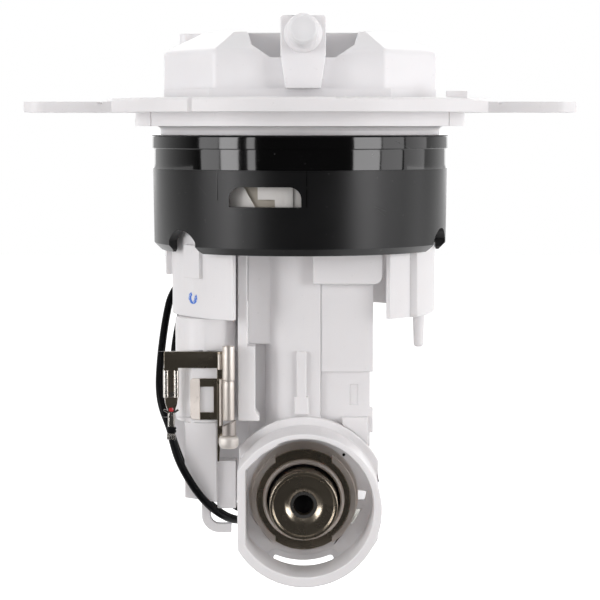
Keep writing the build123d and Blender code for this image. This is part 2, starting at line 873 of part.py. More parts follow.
with BuildPart() as drip_leg:
    with BuildSketch(Plane.XY.offset(leg_bottom)):
        with Locations(((leg_left + ring_inner_radius) / 2, (leg_front + leg_back) / 2)):
            Rectangle(ring_inner_radius - leg_left, leg_back - leg_front)
        Circle(ring_inner_radius - loose_gap, mode=Mode.INTERSECT)
    extrude(amount=case_floor - leg_bottom)
    front_corner = drip_leg.edges().filter_by(Axis.Z).sort_by(lambda e: e.center().X + e.center().Y)[0]
    fillet(front_corner, leg_fillet)
    fillet(drip_leg.faces().sort_by(Axis.Z)[0].edges(), leg_fillet / 2)
    with BuildSketch(Plane.XY.offset(leg_bottom + leg_fillet / 2)):
        with Locations((drip_pin_x, drip_pin_y)):
            Circle(drip_pin_radius)
    extrude(amount=-drip_pin_length - leg_fillet / 2, taper=drip_pin_taper)
    fillet(drip_leg.faces().sort_by(Axis.Z)[0].edges(), drip_pin_radius / 2)
save(drip_leg, "drip_leg")

# ---------------------------------------------------------------- pump holder
with BuildPart() as pump_holder:
    with BuildSketch(Plane.XY.offset(holder_bottom)):
        with Locations((pump_x, pump_y)):
            Circle(holder_radius)
    extrude(amount=case_floor - holder_bottom)
    # flat front of the holder, in two steps
    with BuildSketch(Plane.XY.offset(panel_seam)):
        with Locations(((panel_left + panel_right) / 2, (panel_front + pump_y) / 2)):
            Rectangle(panel_right - panel_left, pump_y - panel_front)
    extrude(amount=panel_top - panel_seam)
    with BuildSketch(Plane.XY.offset(panel_bottom)):
        with Locations(
            ((panel_left + panel_right - panel_step) / 2, (panel_front + panel_step + pump_y) / 2)
        ):
            Rectangle(panel_right - panel_left - panel_step, pump_y - panel_front - panel_step)
    extrude(amount=panel_seam - panel_bottom)
    with BuildSketch(facing(panel_front + panel_step)):
        with Locations((panel_window_x, panel_window_top - panel_window_height / 2)):
            Rectangle(panel_window_width, panel_window_height)
    extrude(amount=-panel_window_depth, mode=Mode.SUBTRACT)
    # tab at the right edge, and a bridge to the plate that holds the regulator
    with BuildSketch(Plane.XY.offset(tab_bottom)):
        with Locations((tab_right - tab_width / 2, panel_front + panel_step + tab_width)):
            Rectangle(tab_width, 2 * tab_width)
    extrude(amount=tab_top - tab_bottom)
    with BuildSketch(facing(bridge_front)):
        with Locations(((bridge_left + bridge_right) / 2, (bridge_top + bridge_bottom) / 2)):
            Rectangle(bridge_right - bridge_left, bridge_top - bridge_bottom)
        with Locations((collar_x, collar_z)):
            Circle(back_plate_radius + fit_gap, mode=Mode.SUBTRACT)
    extrude(amount=bridge_front - panel_front - panel_step)
    with BuildSketch(Plane.XY.offset(holder_bottom)):
        with Locations((pump_x, pump_y)):
            Circle(holder_bore_radius)
    extrude(amount=case_floor - holder_bottom, mode=Mode.SUBTRACT)
save(pump_holder, "pump_holder")

with BuildPart() as fuel_duct:
    # round at the left, square where it meets the panel, with a web at the left in two steps
    for top, bottom, web_y in (
        (case_floor, rail_seam, web_front), (rail_seam, duct_bottom, web_front + web_inset),
    ):
        with BuildSketch(Plane.XY.offset(top)):
            with Locations((duct_x, duct_y)):
                Circle(duct_radius)
            with Locations(((duct_x + panel_left) / 2, duct_y - duct_radius / 2)):
                Rectangle(panel_left - duct_x, duct_radius)
            with Locations(((web_left + web_right) / 2, (web_y + web_back) / 2)):
                Rectangle(web_right - web_left, web_back - web_y)
            with Locations((duct_x, duct_y)):
                Circle(duct_bore_radius, mode=Mode.SUBTRACT)
            with Locations((pump_x, pump_y)):
                Circle(holder_radius + fit_gap, mode=Mode.SUBTRACT)
            with Locations((panel_left + duct_radius, duct_y)):
                Rectangle(2 * duct_radius + 2 * fit_gap, 4 * duct_radius, mode=Mode.SUBTRACT)
        extrude(amount=bottom - top)
    # rib with a wider foot on its front
    for left, right, top, bottom in (
        (rib_left, rib_left + rib_width, rib_top, rib_foot_top),
        (rib_left - rib_foot_step, rib_left + rib_width + rib_foot_step, rib_foot_top, rib_foot_bottom),
    ):
        with BuildSketch(facing(rib_front)):
            with Locations(((left + right) / 2, (top + bottom) / 2)):
                Rectangle(right - left, top - bottom)
        extrude(amount=rib_front - duct_y + duct_bore_radius)
save(fuel_duct, "fuel_duct")

with BuildPart() as catch_lip:
    with BuildSketch(facing(lip_front)):
        with Locations(((lip_left + lip_right) / 2, (case_floor + lip_bottom) / 2)):
            Rectangle(lip_right - lip_left, case_floor - lip_bottom)
    extrude(amount=lip_front - duct_y)
    fillet(
        catch_lip.edges().filter_by(Axis.Y).group_by(Axis.X)[-1].sort_by(Axis.Z)[0],
        lip_corner_radius,
    )
    with BuildSketch(Plane.XY.offset(lip_bottom)):
        with Locations((duct_x, duct_y)):
            Circle(duct_radius + fit_gap)
        with Locations(((duct_x + panel_left) / 2, duct_y - duct_radius / 2)):
            Rectangle(panel_left - duct_x + 2 * fit_gap, duct_radius + 2 * fit_gap)
        with Locations((pump_x, pump_y)):
            Circle(holder_radius + fit_gap)
    extrude(amount=case_floor - lip_bottom, mode=Mode.SUBTRACT)
save(catch_lip, "catch_lip")

# ---------------------------------------------------------------- sensor tower
with BuildPart() as sensor_tower:
    with BuildSketch(Plane.XY.offset(tower_bottom)):
        with Locations((tower_x, tower_y)):
            Circle(tower_radius)
    extrude(amount=case_lower_bottom - fit_gap - tower_bottom)
    # above that it stands inside the wall of the filter case
    with BuildSketch(Plane.XY.offset(case_lower_bottom - fit_gap)):
        with Locations((tower_x, tower_y)):
            Circle(tower_radius)
        Circle(case_radius - case_wall - fit_gap, mode=Mode.INTERSECT)
    extrude(amount=case_floor - case_lower_bottom + fit_gap)
    with BuildSketch(Plane.XY.offset(block_bottom)):
        with Locations(((block_left + block_right) / 2, (block_front + block_back) / 2)):
            Rectangle(block_right - block_left, block_back - block_front)
    extrude(amount=tower_bottom - block_bottom)
    with BuildSketch(facing(block_front)):
        with BuildLine():
            Polyline(
                (block_left, block_bottom + block_slope), (block_right, block_bottom),
                (block_left, block_bottom), close=True,
            )
        make_face()
    extrude(amount=-(block_back - block_front), mode=Mode.SUBTRACT)
    with BuildSketch(Plane.XY.offset(side_block_bottom)):
        with Locations(((block_right + side_block_right) / 2, (side_block_front + block_back) / 2)):
            Rectangle(side_block_right - block_right, block_back - side_block_front)
    extrude(amount=side_block_top - side_block_bottom)
    # flat for the bracket
    with BuildSketch(Plane.XY.offset(bracket_bottom)):
        with Locations(((bracket_left + bracket_right) / 2, (tower_face + tower_y) / 2)):
            Rectangle(bracket_right - bracket_left, tower_y - tower_face)
    extrude(amount=strap_top - bracket_bottom)
save(sensor_tower, "sensor_tower")

with BuildPart() as snap_rail:
    rail_left = tower_x + tower_radius + fit_gap
    with BuildSketch(Plane.XY.offset(rail_seam)):
        with Locations(((rail_left + rail_right) / 2, (rail_front + rail_back) / 2)):
            Rectangle(rail_right - rail_left, rail_back - rail_front)
    extrude(amount=case_floor - rail_seam)
    with BuildSketch(Plane.XY.offset(rail_bottom)):
        with Locations(((rail_left + rail_block_right) / 2, (rail_front + rail_back) / 2)):
            Rectangle(rail_block_right - rail_left, rail_back - rail_front)
    extrude(amount=rail_seam - rail_bottom)
    with BuildSketch(facing(rail_front)):
        with BuildLine():
            Polyline(
                (rail_block_right, rail_bottom), (rail_block_right + rail_claw, rail_bottom),
                (rail_block_right + rail_claw, rail_bottom + rail_claw),
                (rail_block_right, rail_bottom + rail_claw_height), close=True,
            )
        make_face()
    extrude(amount=rail_front - rail_back)
save(snap_rail, "snap_rail")

with BuildPart() as rear_case:
    with BuildSketch(facing(rear_case_back)):
        with BuildLine():
            rear_right = pump_x - holder_radius
            Polyline(
                (rear_right, rear_case_top), (rear_case_left + rear_case_corner, rear_case_top),
                (rear_case_left, rear_case_top - rear_case_corner),
                (rear_case_left, rear_case_top - rear_case_flank),
                (rear_case_left + rear_case_taper, rear_case_top - rear_case_taper_drop),
                (rear_case_left + rear_case_foot, holder_bottom), (rear_right, holder_bottom),
                close=True,
            )
        make_face()
    extrude(amount=rear_case_back - rear_case_front)
    with BuildSketch(Plane.XY.offset(holder_bottom)):
        Circle(rear_case_radius)
        with Locations((pump_x, pump_y)):
            Circle(holder_radius + fit_gap, mode=Mode.SUBTRACT)
    extrude(amount=rear_case_top - holder_bottom, mode=Mode.INTERSECT)
save(rear_case, "rear_case")

with BuildPart() as wire_hook:
    with BuildSketch(facing(hook_y - hook_depth / 2)):
        with BuildLine():
            outer = hook_inner_radius + hook_arm_width
            hook_top = block_bottom
            Line((hook_left, hook_top), (hook_left, hook_bottom + outer))
            RadiusArc((hook_left, hook_bottom + outer), (hook_left + outer, hook_bottom), -outer)
            Line((hook_left + outer, hook_bottom), (hook_left + hook_reach, hook_bottom))
            Line((hook_left + hook_reach, hook_bottom),
                 (hook_left + hook_reach, hook_bottom + hook_arm_width))
            Line((hook_left + hook_reach, hook_bottom + hook_arm_width),
                 (hook_left + outer, hook_bottom + hook_arm_width))
            RadiusArc((hook_left + outer, hook_bottom + hook_arm_width),
                      (hook_left + hook_arm_width, hook_bottom + outer), hook_inner_radius)
            Line((hook_left + hook_arm_width, hook_bottom + outer), (hook_left + hook_arm_width, hook_top))
            Line((hook_left + hook_arm_width, hook_top), (hook_left, hook_top))
        make_face()
    extrude(amount=-hook_depth)
save(wire_hook, "wire_hook")

# ---------------------------------------------------------------- level sensor
with BuildPart() as sensor_bracket:
    with BuildSketch(facing(tower_face)):
        with Locations(((bracket_left + bracket_right) / 2, (bracket_top + bracket_bottom) / 2)):
            RectangleRounded(
                bracket_right - bracket_left, bracket_top - bracket_bottom, bracket_corner_radius
            )
            Rectangle(bracket_window_width, bracket_window_height, mode=Mode.SUBTRACT)
    extrude(amount=plate_thickness)
    # the limb that holds the can
    with BuildSketch(Plane.XY.offset(bracket_bottom + bracket_corner_radius)):
        with Locations(((bracket_right + can_x - can_radius) / 2, tower_face - plate_thickness / 2)):
            Rectangle(can_x + can_radius - bracket_right, plate_thickness)
    extrude(amount=bracket_top - bracket_bottom - 2 * bracket_corner_radius)
save(sensor_bracket, "sensor_bracket")

with BuildPart() as sensor_can:
    with BuildSketch(Plane.XY.offset(can_bottom)):
        with Locations((can_x, can_y)):
            Circle(can_radius)
    extrude(amount=can_top - can_bottom)
    fillet(sensor_can.faces().sort_by(Axis.Z)[-1].edges(), 2 * can_groove)
    # groove between its two halves
    with BuildSketch(Plane.XY.offset(can_seam)):
        with Locations((can_x, can_y)):
            Circle(can_radius)
            Circle(can_radius - can_groove, mode=Mode.SUBTRACT)
    extrude(amount=can_groove, mode=Mode.SUBTRACT)
save(sensor_can, "sensor_can")

with BuildPart() as sensor_band:
    with BuildSketch(Plane.XY.offset(can_bottom)):
        with Locations((can_x, can_y)):
            Circle(band_radius)
    extrude(amount=-band_height)
save(sensor_band, "sensor_band")

with BuildPart() as sensor_tip:
    with BuildSketch(Plane.XY.offset(can_bottom - band_height)):
        with Locations((can_x, can_y)):
            Circle(tip_radius)
    extrude(amount=-tip_height)
    fillet(sensor_tip.edges().filter_by(GeomType.CIRCLE), tip_height * 0.42)
save(sensor_tip, "sensor_tip")

with BuildPart() as earth_strap:
    with BuildSketch(facing(tower_face)):
        with Locations(((strap_left + hem_x) / 2, strap_top - strap_height / 2)):
            Rectangle(hem_x - strap_left, strap_height)
        with Locations((receptacle_x, strap_top - strap_height - strap_tab_length / 2)):
            Rectangle(strap_tab_width, strap_tab_length)
    extrude(amount=plate_thickness)
    with BuildSketch(Plane.XY.offset(strap_top - strap_height)):
        with Locations((hem_x, tower_face - plate_thickness / 2)):
            Circle(hem_radius)
    extrude(amount=strap_height)
save(earth_strap, "earth_strap")

receptacle_y = tower_face - plate_thickness / 2
receptacle_top = strap_top - strap_height - fit_gap
receptacle_bottom = receptacle_top - receptacle_height
with BuildPart() as terminal_receptacle:
    with BuildSketch(Plane.XY.offset(receptacle_bottom)):
        with Locations((receptacle_x, receptacle_y)):
            RectangleRounded(receptacle_width, receptacle_depth, receptacle_depth / 3)
    extrude(amount=receptacle_height)
    with BuildSketch(Plane.XY.offset(receptacle_bottom)):
        with Locations((receptacle_x, receptacle_y)):
            Rectangle(strap_tab_width + 2 * fit_gap, plate_thickness + 2 * fit_gap)
    extrude(amount=receptacle_height, mode=Mode.SUBTRACT)
    with BuildSketch(Plane.XY.offset(receptacle_bottom)):
        with Locations((receptacle_x, receptacle_y)):
            Rectangle(receptacle_width - 1, receptacle_depth - 1)
    with BuildSketch(Plane.XY.offset(receptacle_bottom - crimp_length / 3)):
        with Locations((receptacle_x, receptacle_y)):
            Rectangle(2.2, 1.8)
    loft()
    with BuildSketch(Plane.XY.offset(receptacle_bottom - crimp_length / 3)):
        with Locations((receptacle_x, receptacle_y)):
            Circle(lead_radius)
    extrude(amount=-2 * crimp_length / 3 + seal_length)
save(terminal_receptacle, "terminal_receptacle")

with BuildPart() as wire_seal:
    with BuildSketch(Plane.XY.offset(receptacle_bottom - crimp_length + seal_length)):
        with Locations((receptacle_x, receptacle_y)):
            Circle(seal_radius)
    extrude(amount=-seal_length)
save(wire_seal, "wire_seal")

# ---------------------------------------------------------------- leads
lead_routes = {
    "earth_lead": [
        (receptacle_x, receptacle_y, receptacle_bottom - crimp_length),
        (-42.6, -31.6, -110.6), (-41.2, -32.3, -114.6), (-38.9, -32.7, -118.8), (-36.3, -32.6, -123.3),
        (-33.2, -32.2, -128.0), (-29.9, -30.6, -132.2), (-26.6, -26.6, -135.3), (-23.0, -21.6, -137.6),
        (-20.4, -17.0, -138.5), (plug_left, -13.0, -138.8),
    ],
    "pump_lead": [
        (-41.4, 15.0, -58.0), (-44.6, 12.0, -63.0), (-46.4, 7.5, -70.2), (-47.8, 1.0, -78.6),
        (-48.6, -6.0, -86.9), (-48.4, -11.0, -93.9), (-46.4, -13.6, -100.0), (-43.4, -14.6, -106.0),
        (-40.2, -15.2, -112.0), (-37.2, -15.6, -118.4), (-33.6, -15.8, -125.0), (-29.6, -15.4, -131.0),
        (-25.2, -14.0, -136.1), (-20.8, -11.6, -139.5), (plug_left, -9.4, -140.6),
    ],
    "sensor_lead": [
        (-38.0, 7.4, -56.5), (-39.8, 4.4, -62.2), (-41.2, 0.6, -69.2), (-42.4, -3.6, -76.5),
        (-43.2, -7.4, -84.5), (-43.2, -9.8, -92.6), (-42.0, -10.8, -100.1), (-39.6, -11.2, -107.9),
        (-36.4, -11.4, -115.4), (-32.6, -11.4, -122.3), (-28.6, -10.8, -127.9), (-24.6, -9.4, -132.6),
        (-20.4, -7.4, -135.9), (plug_left, -5.6, -137.6),
    ],
}


def corner_radii(points):
    """Tangent arc at each inner point, as large as its two runs allow."""
    radii = []
    for before, here, after in zip(points, points[1:], points[2:]):
        run_in = Vector(*here) - Vector(*before)
        run_out = Vector(*after) - Vector(*here)
        turn = run_in.get_angle(run_out)
        radii.append(0.45 * min(run_in.length, run_out.length) / tan(radians(turn / 2)))
    return radii


for lead_name, route in lead_routes.items():
    radii = corner_radii(route)
    print(lead_name, "arc radii", [round(r, 1) for r in radii])
    with BuildPart() as lead:
        with BuildLine() as path:
            FilletPolyline(*route, radius=radii)
        with BuildSketch(Plane(origin=path.line @ 0, z_dir=path.line % 0)):
            Circle(lead_radius)
        sweep()
    length = path.wires()[0].length
    print(lead_name, "length", round(length, 1), "volume ratio",
          round(lead.part.volume / (length * pi * lead_radius**2), 4))
    save(lead, lead_name)

with BuildPart() as pump_plug:
    with BuildSketch(Plane.XY.offset(holder_bottom)):
        with Locations((plug_left + plug_length / 2, plug_y)):
            RectangleRounded(plug_length, plug_width, 1.0)
    extrude(amount=-plug_height)
save(pump_plug, "pump_plug")

# ---------------------------------------------------------------- regulator holder
with BuildPart() as regulator_holder:
    with BuildSketch(facing(back_plate_front + back_plate_thickness)):
        with Locations((collar_x, collar_z)):
            Circle(back_plate_radius)
        with Locations((back_plate_right + back_plate_radius, collar_z)):
            Rectangle(2 * back_plate_radius, 2 * back_plate_radius, mode=Mode.SUBTRACT)
    extrude(amount=back_plate_thickness)
    with BuildSketch(facing(back_plate_front)):
        with Locations((collar_x, collar_z)):
            Circle(collar_radius)
        with Locations((collar_x, collar_z + collar_bore_rise)):
            Circle(collar_radius - collar_wall, mode=Mode.SUBTRACT)
    extrude(amount=back_plate_front - collar_front)
    with BuildSketch(facing(back_plate_front)):
        with BuildLine():
            Polyline(*collar_gusset, close=True)
        make_face()
        with Locations((collar_x, collar_z)):
            Circle(collar_radius, mode=Mode.INTERSECT)
    extrude(amount=back_plate_front - collar_front)
    # the collar is flat at the left
    with BuildSketch(facing(back_plate_front + back_plate_thickness)):
        with Locations((collar_flat_x - back_plate_radius, collar_z)):
            Rectangle(2 * back_plate_radius, 2 * back_plate_radius)
    extrude(amount=back_plate_front + back_plate_thickness - collar_front, mode=Mode.SUBTRACT)
    with BuildSketch(facing(back_plate_front)):
        with Locations((collar_x, collar_z)):
            Circle(collar_radius)
        with Locations((collar_flat_x + collar_wall + back_plate_radius, collar_z)):
            Rectangle(2 * back_plate_radius, 3 * back_plate_radius, mode=Mode.SUBTRACT)
        with Locations((collar_flat_x - back_plate_radius, collar_z)):
            Rectangle(2 * back_plate_radius, 3 * back_plate_radius, mode=Mode.SUBTRACT)
    extrude(amount=back_plate_front - collar_front)
    # socket for the regulator's body, behind the plate
    socket_back = pump_y - holder_radius
    with BuildSketch(facing(socket_back)):
        with Locations((regulator_x, regulator_z)):
            Circle(socket_radius)
    extrude(amount=socket_back - back_plate_front - back_plate_thickness)
    with BuildSketch(Plane.XY.offset(collar_z - back_plate_radius)):
        with Locations((pump_x, pump_y)):
            Circle(holder_radius + fit_gap)
    extrude(amount=2 * back_plate_radius, mode=Mode.SUBTRACT)
    with BuildSketch(facing(back_plate_front)):
        with Locations((regulator_x, regulator_z)):
            Circle(socket_bore_radius)
    extrude(amount=-(regulator_body_length + loose_gap), mode=Mode.SUBTRACT)
    # drain slot at the bottom, and the windows of the regulator's clip
    with BuildSketch(facing(back_plate_front)):
        with Locations((collar_x, collar_z)):
            Circle(drain_slot_radius + drain_slot_width / 2)
            Circle(drain_slot_radius - drain_slot_width / 2, mode=Mode.SUBTRACT)
        slot_reach = 2 * drain_slot_radius
        slot_half = slot_reach * tan(radians(drain_slot_angle / 2))
        with BuildLine():
            Polyline(
                (collar_x, collar_z), (collar_x - slot_half, collar_z - slot_reach),
                (collar_x + slot_half, collar_z - slot_reach), close=True,
            )
        make_face(mode=Mode.INTERSECT)
        for window in (upper_window, lower_window):
            with BuildLine():
                Polyline(*window, close=True)
            make_face()
        with Locations((pin_hole_x, pin_hole_z)):
            Circle(pin_hole_radius)
    extrude(amount=-back_plate_thickness, mode=Mode.SUBTRACT)
save(regulator_holder, "regulator_holder")

# ---------------------------------------------------------------- pressure regulator
with BuildPart() as regulator_body:
    # lower shell: its flange, with two wide tabs, lies on the retainer, its body in the socket
    with BuildSketch(facing(flange_back)):
        with Locations((regulator_x, regulator_z)):
            Circle(regulator_tab_radius)
            Rectangle(2 * regulator_tab_half, 2 * regulator_tab_radius, mode=Mode.INTERSECT)
            Circle(regulator_flange_radius)
    extrude(amount=regulator_flange_thickness)
    with BuildSketch(facing(flange_back)):
        with Locations((regulator_x, regulator_z)):
            Circle(regulator_body_radius)
    extrude(amount=-regulator_body_length - retainer_base_thickness)
    with BuildSketch(facing(flange_face)):
        with Locations((regulator_x, regulator_z)):
            Circle(valve_radius + 1)
    extrude(amount=flange_face - back_plate_front - valve_thickness, mode=Mode.SUBTRACT)
    with BuildSketch(facing(back_plate_front)):
        with Locations((regulator_x, regulator_z)):
            Circle(regulator_bore_radius)
    extrude(amount=-regulator_body_length, mode=Mode.SUBTRACT)
save(regulator_body, "regulator_body")

with BuildPart() as regulator_retainer:
    with BuildSketch(facing(back_plate_front)):
        with Locations((regulator_x, regulator_z + retainer_base_rise)):
            Circle(retainer_base_radius)
        with Locations((regulator_x, regulator_z)):
            Circle(regulator_body_radius + fit_gap, mode=Mode.SUBTRACT)
    extrude(amount=retainer_base_thickness)
    # two arms round the flange, open where its tabs are
    with BuildSketch(facing(flange_back)):
        with Locations((regulator_x, regulator_z)):
            Circle(retainer_radius)
            Circle(regulator_flange_radius + fit_gap, mode=Mode.SUBTRACT)
            Rectangle(2 * (regulator_tab_half + fit_gap), 3 * retainer_radius, mode=Mode.SUBTRACT)
    extrude(amount=retainer_thickness)
save(regulator_retainer, "regulator_retainer")

with BuildPart() as regulator_bead:
    with BuildSketch(facing(flange_face)):
        with Locations((regulator_x, regulator_z)):
            Circle(bead_radius)
            Circle(cup_radius + fit_gap, mode=Mode.SUBTRACT)
    extrude(amount=bead_thickness)
    fillet(
        regulator_bead.edges().filter_by(GeomType.CIRCLE).sort_by(Axis.Y)[0], bead_thickness * 0.45
    )
save(regulator_bead, "regulator_bead")

cup_front = flange_face - cup_length
with BuildPart() as regulator_cup:
    with BuildSketch(facing(flange_face)):
        with Locations((regulator_x, regulator_z)):
            Circle(cup_radius)
    extrude(amount=cup_length)
    fillet(regulator_cup.faces().sort_by(Axis.Y)[0].edges(), cup_rim_radius)
    with BuildSketch(facing(flange_face)):
        with Locations((regulator_x, regulator_z)):
            Circle(cup_radius - cup_wall)
    extrude(amount=cup_length - cup_dish_depth - cup_wall, mode=Mode.SUBTRACT)
    with BuildSketch(facing(cup_front)):
        with Locations((regulator_x, regulator_z)):
            Circle(cup_dish_radius)
    extrude(amount=-cup_dish_depth, taper=35, mode=Mode.SUBTRACT)
    with BuildSketch(facing(cup_front)):
        with Locations((regulator_x, regulator_z)):
            Circle(cup_hole_radius)
    extrude(amount=-2 * (cup_dish_depth + cup_wall), mode=Mode.SUBTRACT)
save(regulator_cup, "regulator_cup")

with BuildPart() as regulator_diaphragm:
    with BuildSketch(facing(flange_face)):
        with Locations((regulator_x, regulator_z)):
            Circle(cup_radius - cup_wall - fit_gap)
            Circle(valve_radius + loose_gap, mode=Mode.SUBTRACT)
    extrude(amount=plate_thickness)
save(regulator_diaphragm, "regulator_diaphragm")

valve_seat = back_plate_front + valve_thickness
with BuildPart() as regulator_valve:
    with BuildSketch(facing(valve_seat)):
        with Locations((regulator_x, regulator_z)):
            Circle(valve_radius)
    extrude(amount=2 * valve_thickness)
    with BuildSketch(facing(valve_seat)):
        with Locations((regulator_x, regulator_z)):
            Circle(regulator_bore_radius - running_gap)
    extrude(amount=-valve_stem_length)
save(regulator_valve, "regulator_valve")

with BuildPart() as regulator_spring:
    spring_back = valve_seat - 2 * valve_thickness
    with BuildSketch(facing(spring_back)):
        with Locations((regulator_x, regulator_z)):
            Circle(spring_outer_radius)
            Circle(spring_inner_radius, mode=Mode.SUBTRACT)
    extrude(amount=spring_back - cup_front - cup_dish_depth - cup_wall)
save(regulator_spring, "regulator_spring")

with BuildPart() as regulator_o_ring:
    ring_y = back_plate_front + regulator_body_length / 2
    with BuildSketch(facing(ring_y + o_ring_section / 2)):
        with Locations((regulator_x, regulator_z)):
            Circle(socket_bore_radius)
            Circle(regulator_body_radius, mode=Mode.SUBTRACT)
    extrude(amount=o_ring_section)
save(regulator_o_ring, "regulator_o_ring")

# ---------------------------------------------------------------- pump
pump_axis = (pump_x, pump_y)
chamber_top = pump_bottom + 2 * chamber_plate_thickness + impeller_thickness + 2 * running_gap
with BuildPart() as pump_casing:
    with BuildSketch(Plane.XY.offset(pump_bottom)):
        with Locations(pump_axis):
            Circle(pump_radius)
            Circle(pump_radius - pump_wall, mode=Mode.SUBTRACT)
    extrude(amount=pump_length)
save(pump_casing, "pump_casing")

with BuildPart() as pump_magnets:
    with BuildSketch(Plane.XY.offset(chamber_top + 4)):
        with Locations(pump_axis):
            Circle(pump_radius - pump_wall)
            Circle(pump_radius - pump_wall - magnet_thickness, mode=Mode.SUBTRACT)
            Rectangle(2.4, 2 * pump_radius, mode=Mode.SUBTRACT)
    extrude(amount=armature_length)
save(pump_magnets, "pump_magnets")

with BuildPart() as pump_end_cap:
    with BuildSketch(Plane.XY.offset(pump_top)):
        with Locations(pump_axis):
            Circle(pump_radius)
    extrude(amount=end_cap_thickness)
    with BuildSketch(Plane.XY.offset(pump_top)):
        with Locations(pump_axis):
            Circle(pump_radius - pump_wall)
    extrude(amount=-end_cap_thickness)
    with BuildSketch(Plane.XY.offset(pump_top + end_cap_thickness)):
        with Locations(pump_axis):
            Circle(end_cap_spigot_radius)
    extrude(amount=end_cap_spigot_length)
    # valve chamber in the spigot, with a smaller seat below and a mouth above
    check_seat = pump_top + end_cap_thickness
    with BuildSketch(Plane.XY.offset(check_seat)):
        with Locations(pump_axis):
            Circle(check_radius + running_gap)
    extrude(amount=check_length + check_spring_length, mode=Mode.SUBTRACT)
    with BuildSketch(Plane.XY.offset(check_seat)):
        with Locations(pump_axis):
            Circle(check_radius - 1)
    extrude(amount=end_cap_spigot_length, mode=Mode.SUBTRACT)
    # blind bearing for the shaft, and the brush pockets
    with BuildSketch(Plane.XY.offset(pump_top - end_cap_thickness)):
        with Locations(pump_axis):
            Circle(shaft_radius + running_gap)
    extrude(amount=end_cap_thickness, mode=Mode.SUBTRACT)
    # relief valve's bore beside the spigot
    with BuildSketch(Plane.XY.offset(pump_top + end_cap_thickness)):
        with Locations((pump_x + relief_x, pump_y)):
            Circle(relief_radius + running_gap)
    extrude(amount=-(relief_length + relief_travel), mode=Mode.SUBTRACT)
save(pump_end_cap, "pump_end_cap")

with BuildPart() as check_valve:
    with BuildSketch(Plane.XY.offset(check_seat)):
        with Locations(pump_axis):
            Circle(check_radius)
    extrude(amount=check_length)
    chamfer(check_valve.faces().sort_by(Axis.Z)[-1].edges(), 0.5)
save(check_valve, "check_valve")

with BuildPart() as check_spring:
    with BuildSketch(Plane.XY.offset(check_seat + check_length)):
        with Locations(pump_axis):
            Circle(check_radius - 0.5)
            Circle(check_radius - 1.1, mode=Mode.SUBTRACT)
    extrude(amount=check_spring_length)
save(check_spring, "check_spring")

with BuildPart() as relief_valve:
    with BuildSketch(Plane.XY.offset(pump_top + end_cap_thickness - relief_length)):
        with Locations((pump_x + relief_x, pump_y)):
            Circle(relief_radius)
    extrude(amount=relief_length)
save(relief_valve, "relief_valve")

with BuildPart() as relief_spring:
    with BuildSketch(Plane.XY.offset(pump_top + end_cap_thickness - relief_length - relief_travel)):
        with Locations((pump_x + relief_x, pump_y)):
            Circle(relief_radius - 0.3)
            Circle(relief_radius - 0.9, mode=Mode.SUBTRACT)
    extrude(amount=relief_travel)
save(relief_spring, "relief_spring")

with BuildPart() as pump_chamber:
    with BuildSketch(Plane.XY.offset(pump_bottom)):
        with Locations(pump_axis):
            Circle(pump_radius - pump_wall)
    extrude(amount=chamber_top - pump_bottom)
    with BuildSketch(Plane.XY.offset(pump_bottom + chamber_plate_thickness)):
        with Locations(pump_axis):
            Circle(impeller_radius + running_gap)
    extrude(amount=impeller_thickness + 2 * running_gap, mode=Mode.SUBTRACT)
    with BuildSketch(Plane.XY.offset(pump_bottom + chamber_plate_thickness / 2)):
        with Locations(pump_axis):
            Circle(shaft_radius + running_gap)
    extrude(amount=chamber_top - pump_bottom, mode=Mode.SUBTRACT)
    with BuildSketch(Plane.XY.offset(pump_bottom)):
        with Locations((pump_x, pump_y + impeller_radius - inlet_radius - 1)):
            Circle(inlet_radius)
    extrude(amount=chamber_plate_thickness, mode=Mode.SUBTRACT)
    with BuildSketch(Plane.XY.offset(chamber_top)):
        with Locations((pump_x, pump_y - impeller_radius + 2.5)):
            Circle(1.6)
    extrude(amount=-chamber_plate_thickness, mode=Mode.SUBTRACT)
save(pump_chamber, "pump_chamber")

with BuildPart() as impeller:
    with BuildSketch(Plane.XY.offset(pump_bottom + chamber_plate_thickness + running_gap)):
        with Locations(pump_axis):
            Circle(impeller_radius)
            Circle(shaft_radius, mode=Mode.SUBTRACT)
            with PolarLocations(impeller_radius - impeller_vane_length / 2, impeller_vanes):
                Rectangle(impeller_vane_length + 1, 1.8, mode=Mode.SUBTRACT)
    extrude(amount=impeller_thickness)
save(impeller, "impeller")

armature_bottom = chamber_top + 4
with BuildPart() as rotor_shaft:
    with BuildSketch(Plane.XY.offset(pump_bottom + chamber_plate_thickness / 2 + running_gap)):
        with Locations(pump_axis):
            Circle(shaft_radius)
    extrude(amount=pump_length - chamber_plate_thickness / 2 - 2 * running_gap)
save(rotor_shaft, "rotor_shaft")

with BuildPart() as armature:
    with BuildSketch(Plane.XY.offset(armature_bottom)):
        with Locations(pump_axis):
            Circle(armature_radius)
            Circle(shaft_radius, mode=Mode.SUBTRACT)
            with PolarLocations(armature_radius - 3, armature_slots):
                Rectangle(7, 2.2, mode=Mode.SUBTRACT)
    extrude(amount=armature_length)
save(armature, "armature")

commutator_bottom = armature_bottom + armature_length
with BuildPart() as commutator:
    with BuildSketch(Plane.XY.offset(commutator_bottom)):
        with Locations(pump_axis):
            Circle(commutator_radius)
            Circle(shaft_radius, mode=Mode.SUBTRACT)
    extrude(amount=commutator_length)
save(commutator, "commutator")

with BuildPart() as pump_brushes:
    brush_bottom = commutator_bottom + commutator_length + running_gap
    with BuildSketch(Plane.XY.offset(brush_bottom)):
        with Locations(pump_axis):
            with GridLocations(2 * (shaft_radius + 0.5) + brush_width, 0, 2, 1):
                Rectangle(brush_width, brush_width)
    extrude(amount=pump_top - end_cap_thickness - brush_bottom)
save(pump_brushes, "pump_brushes")

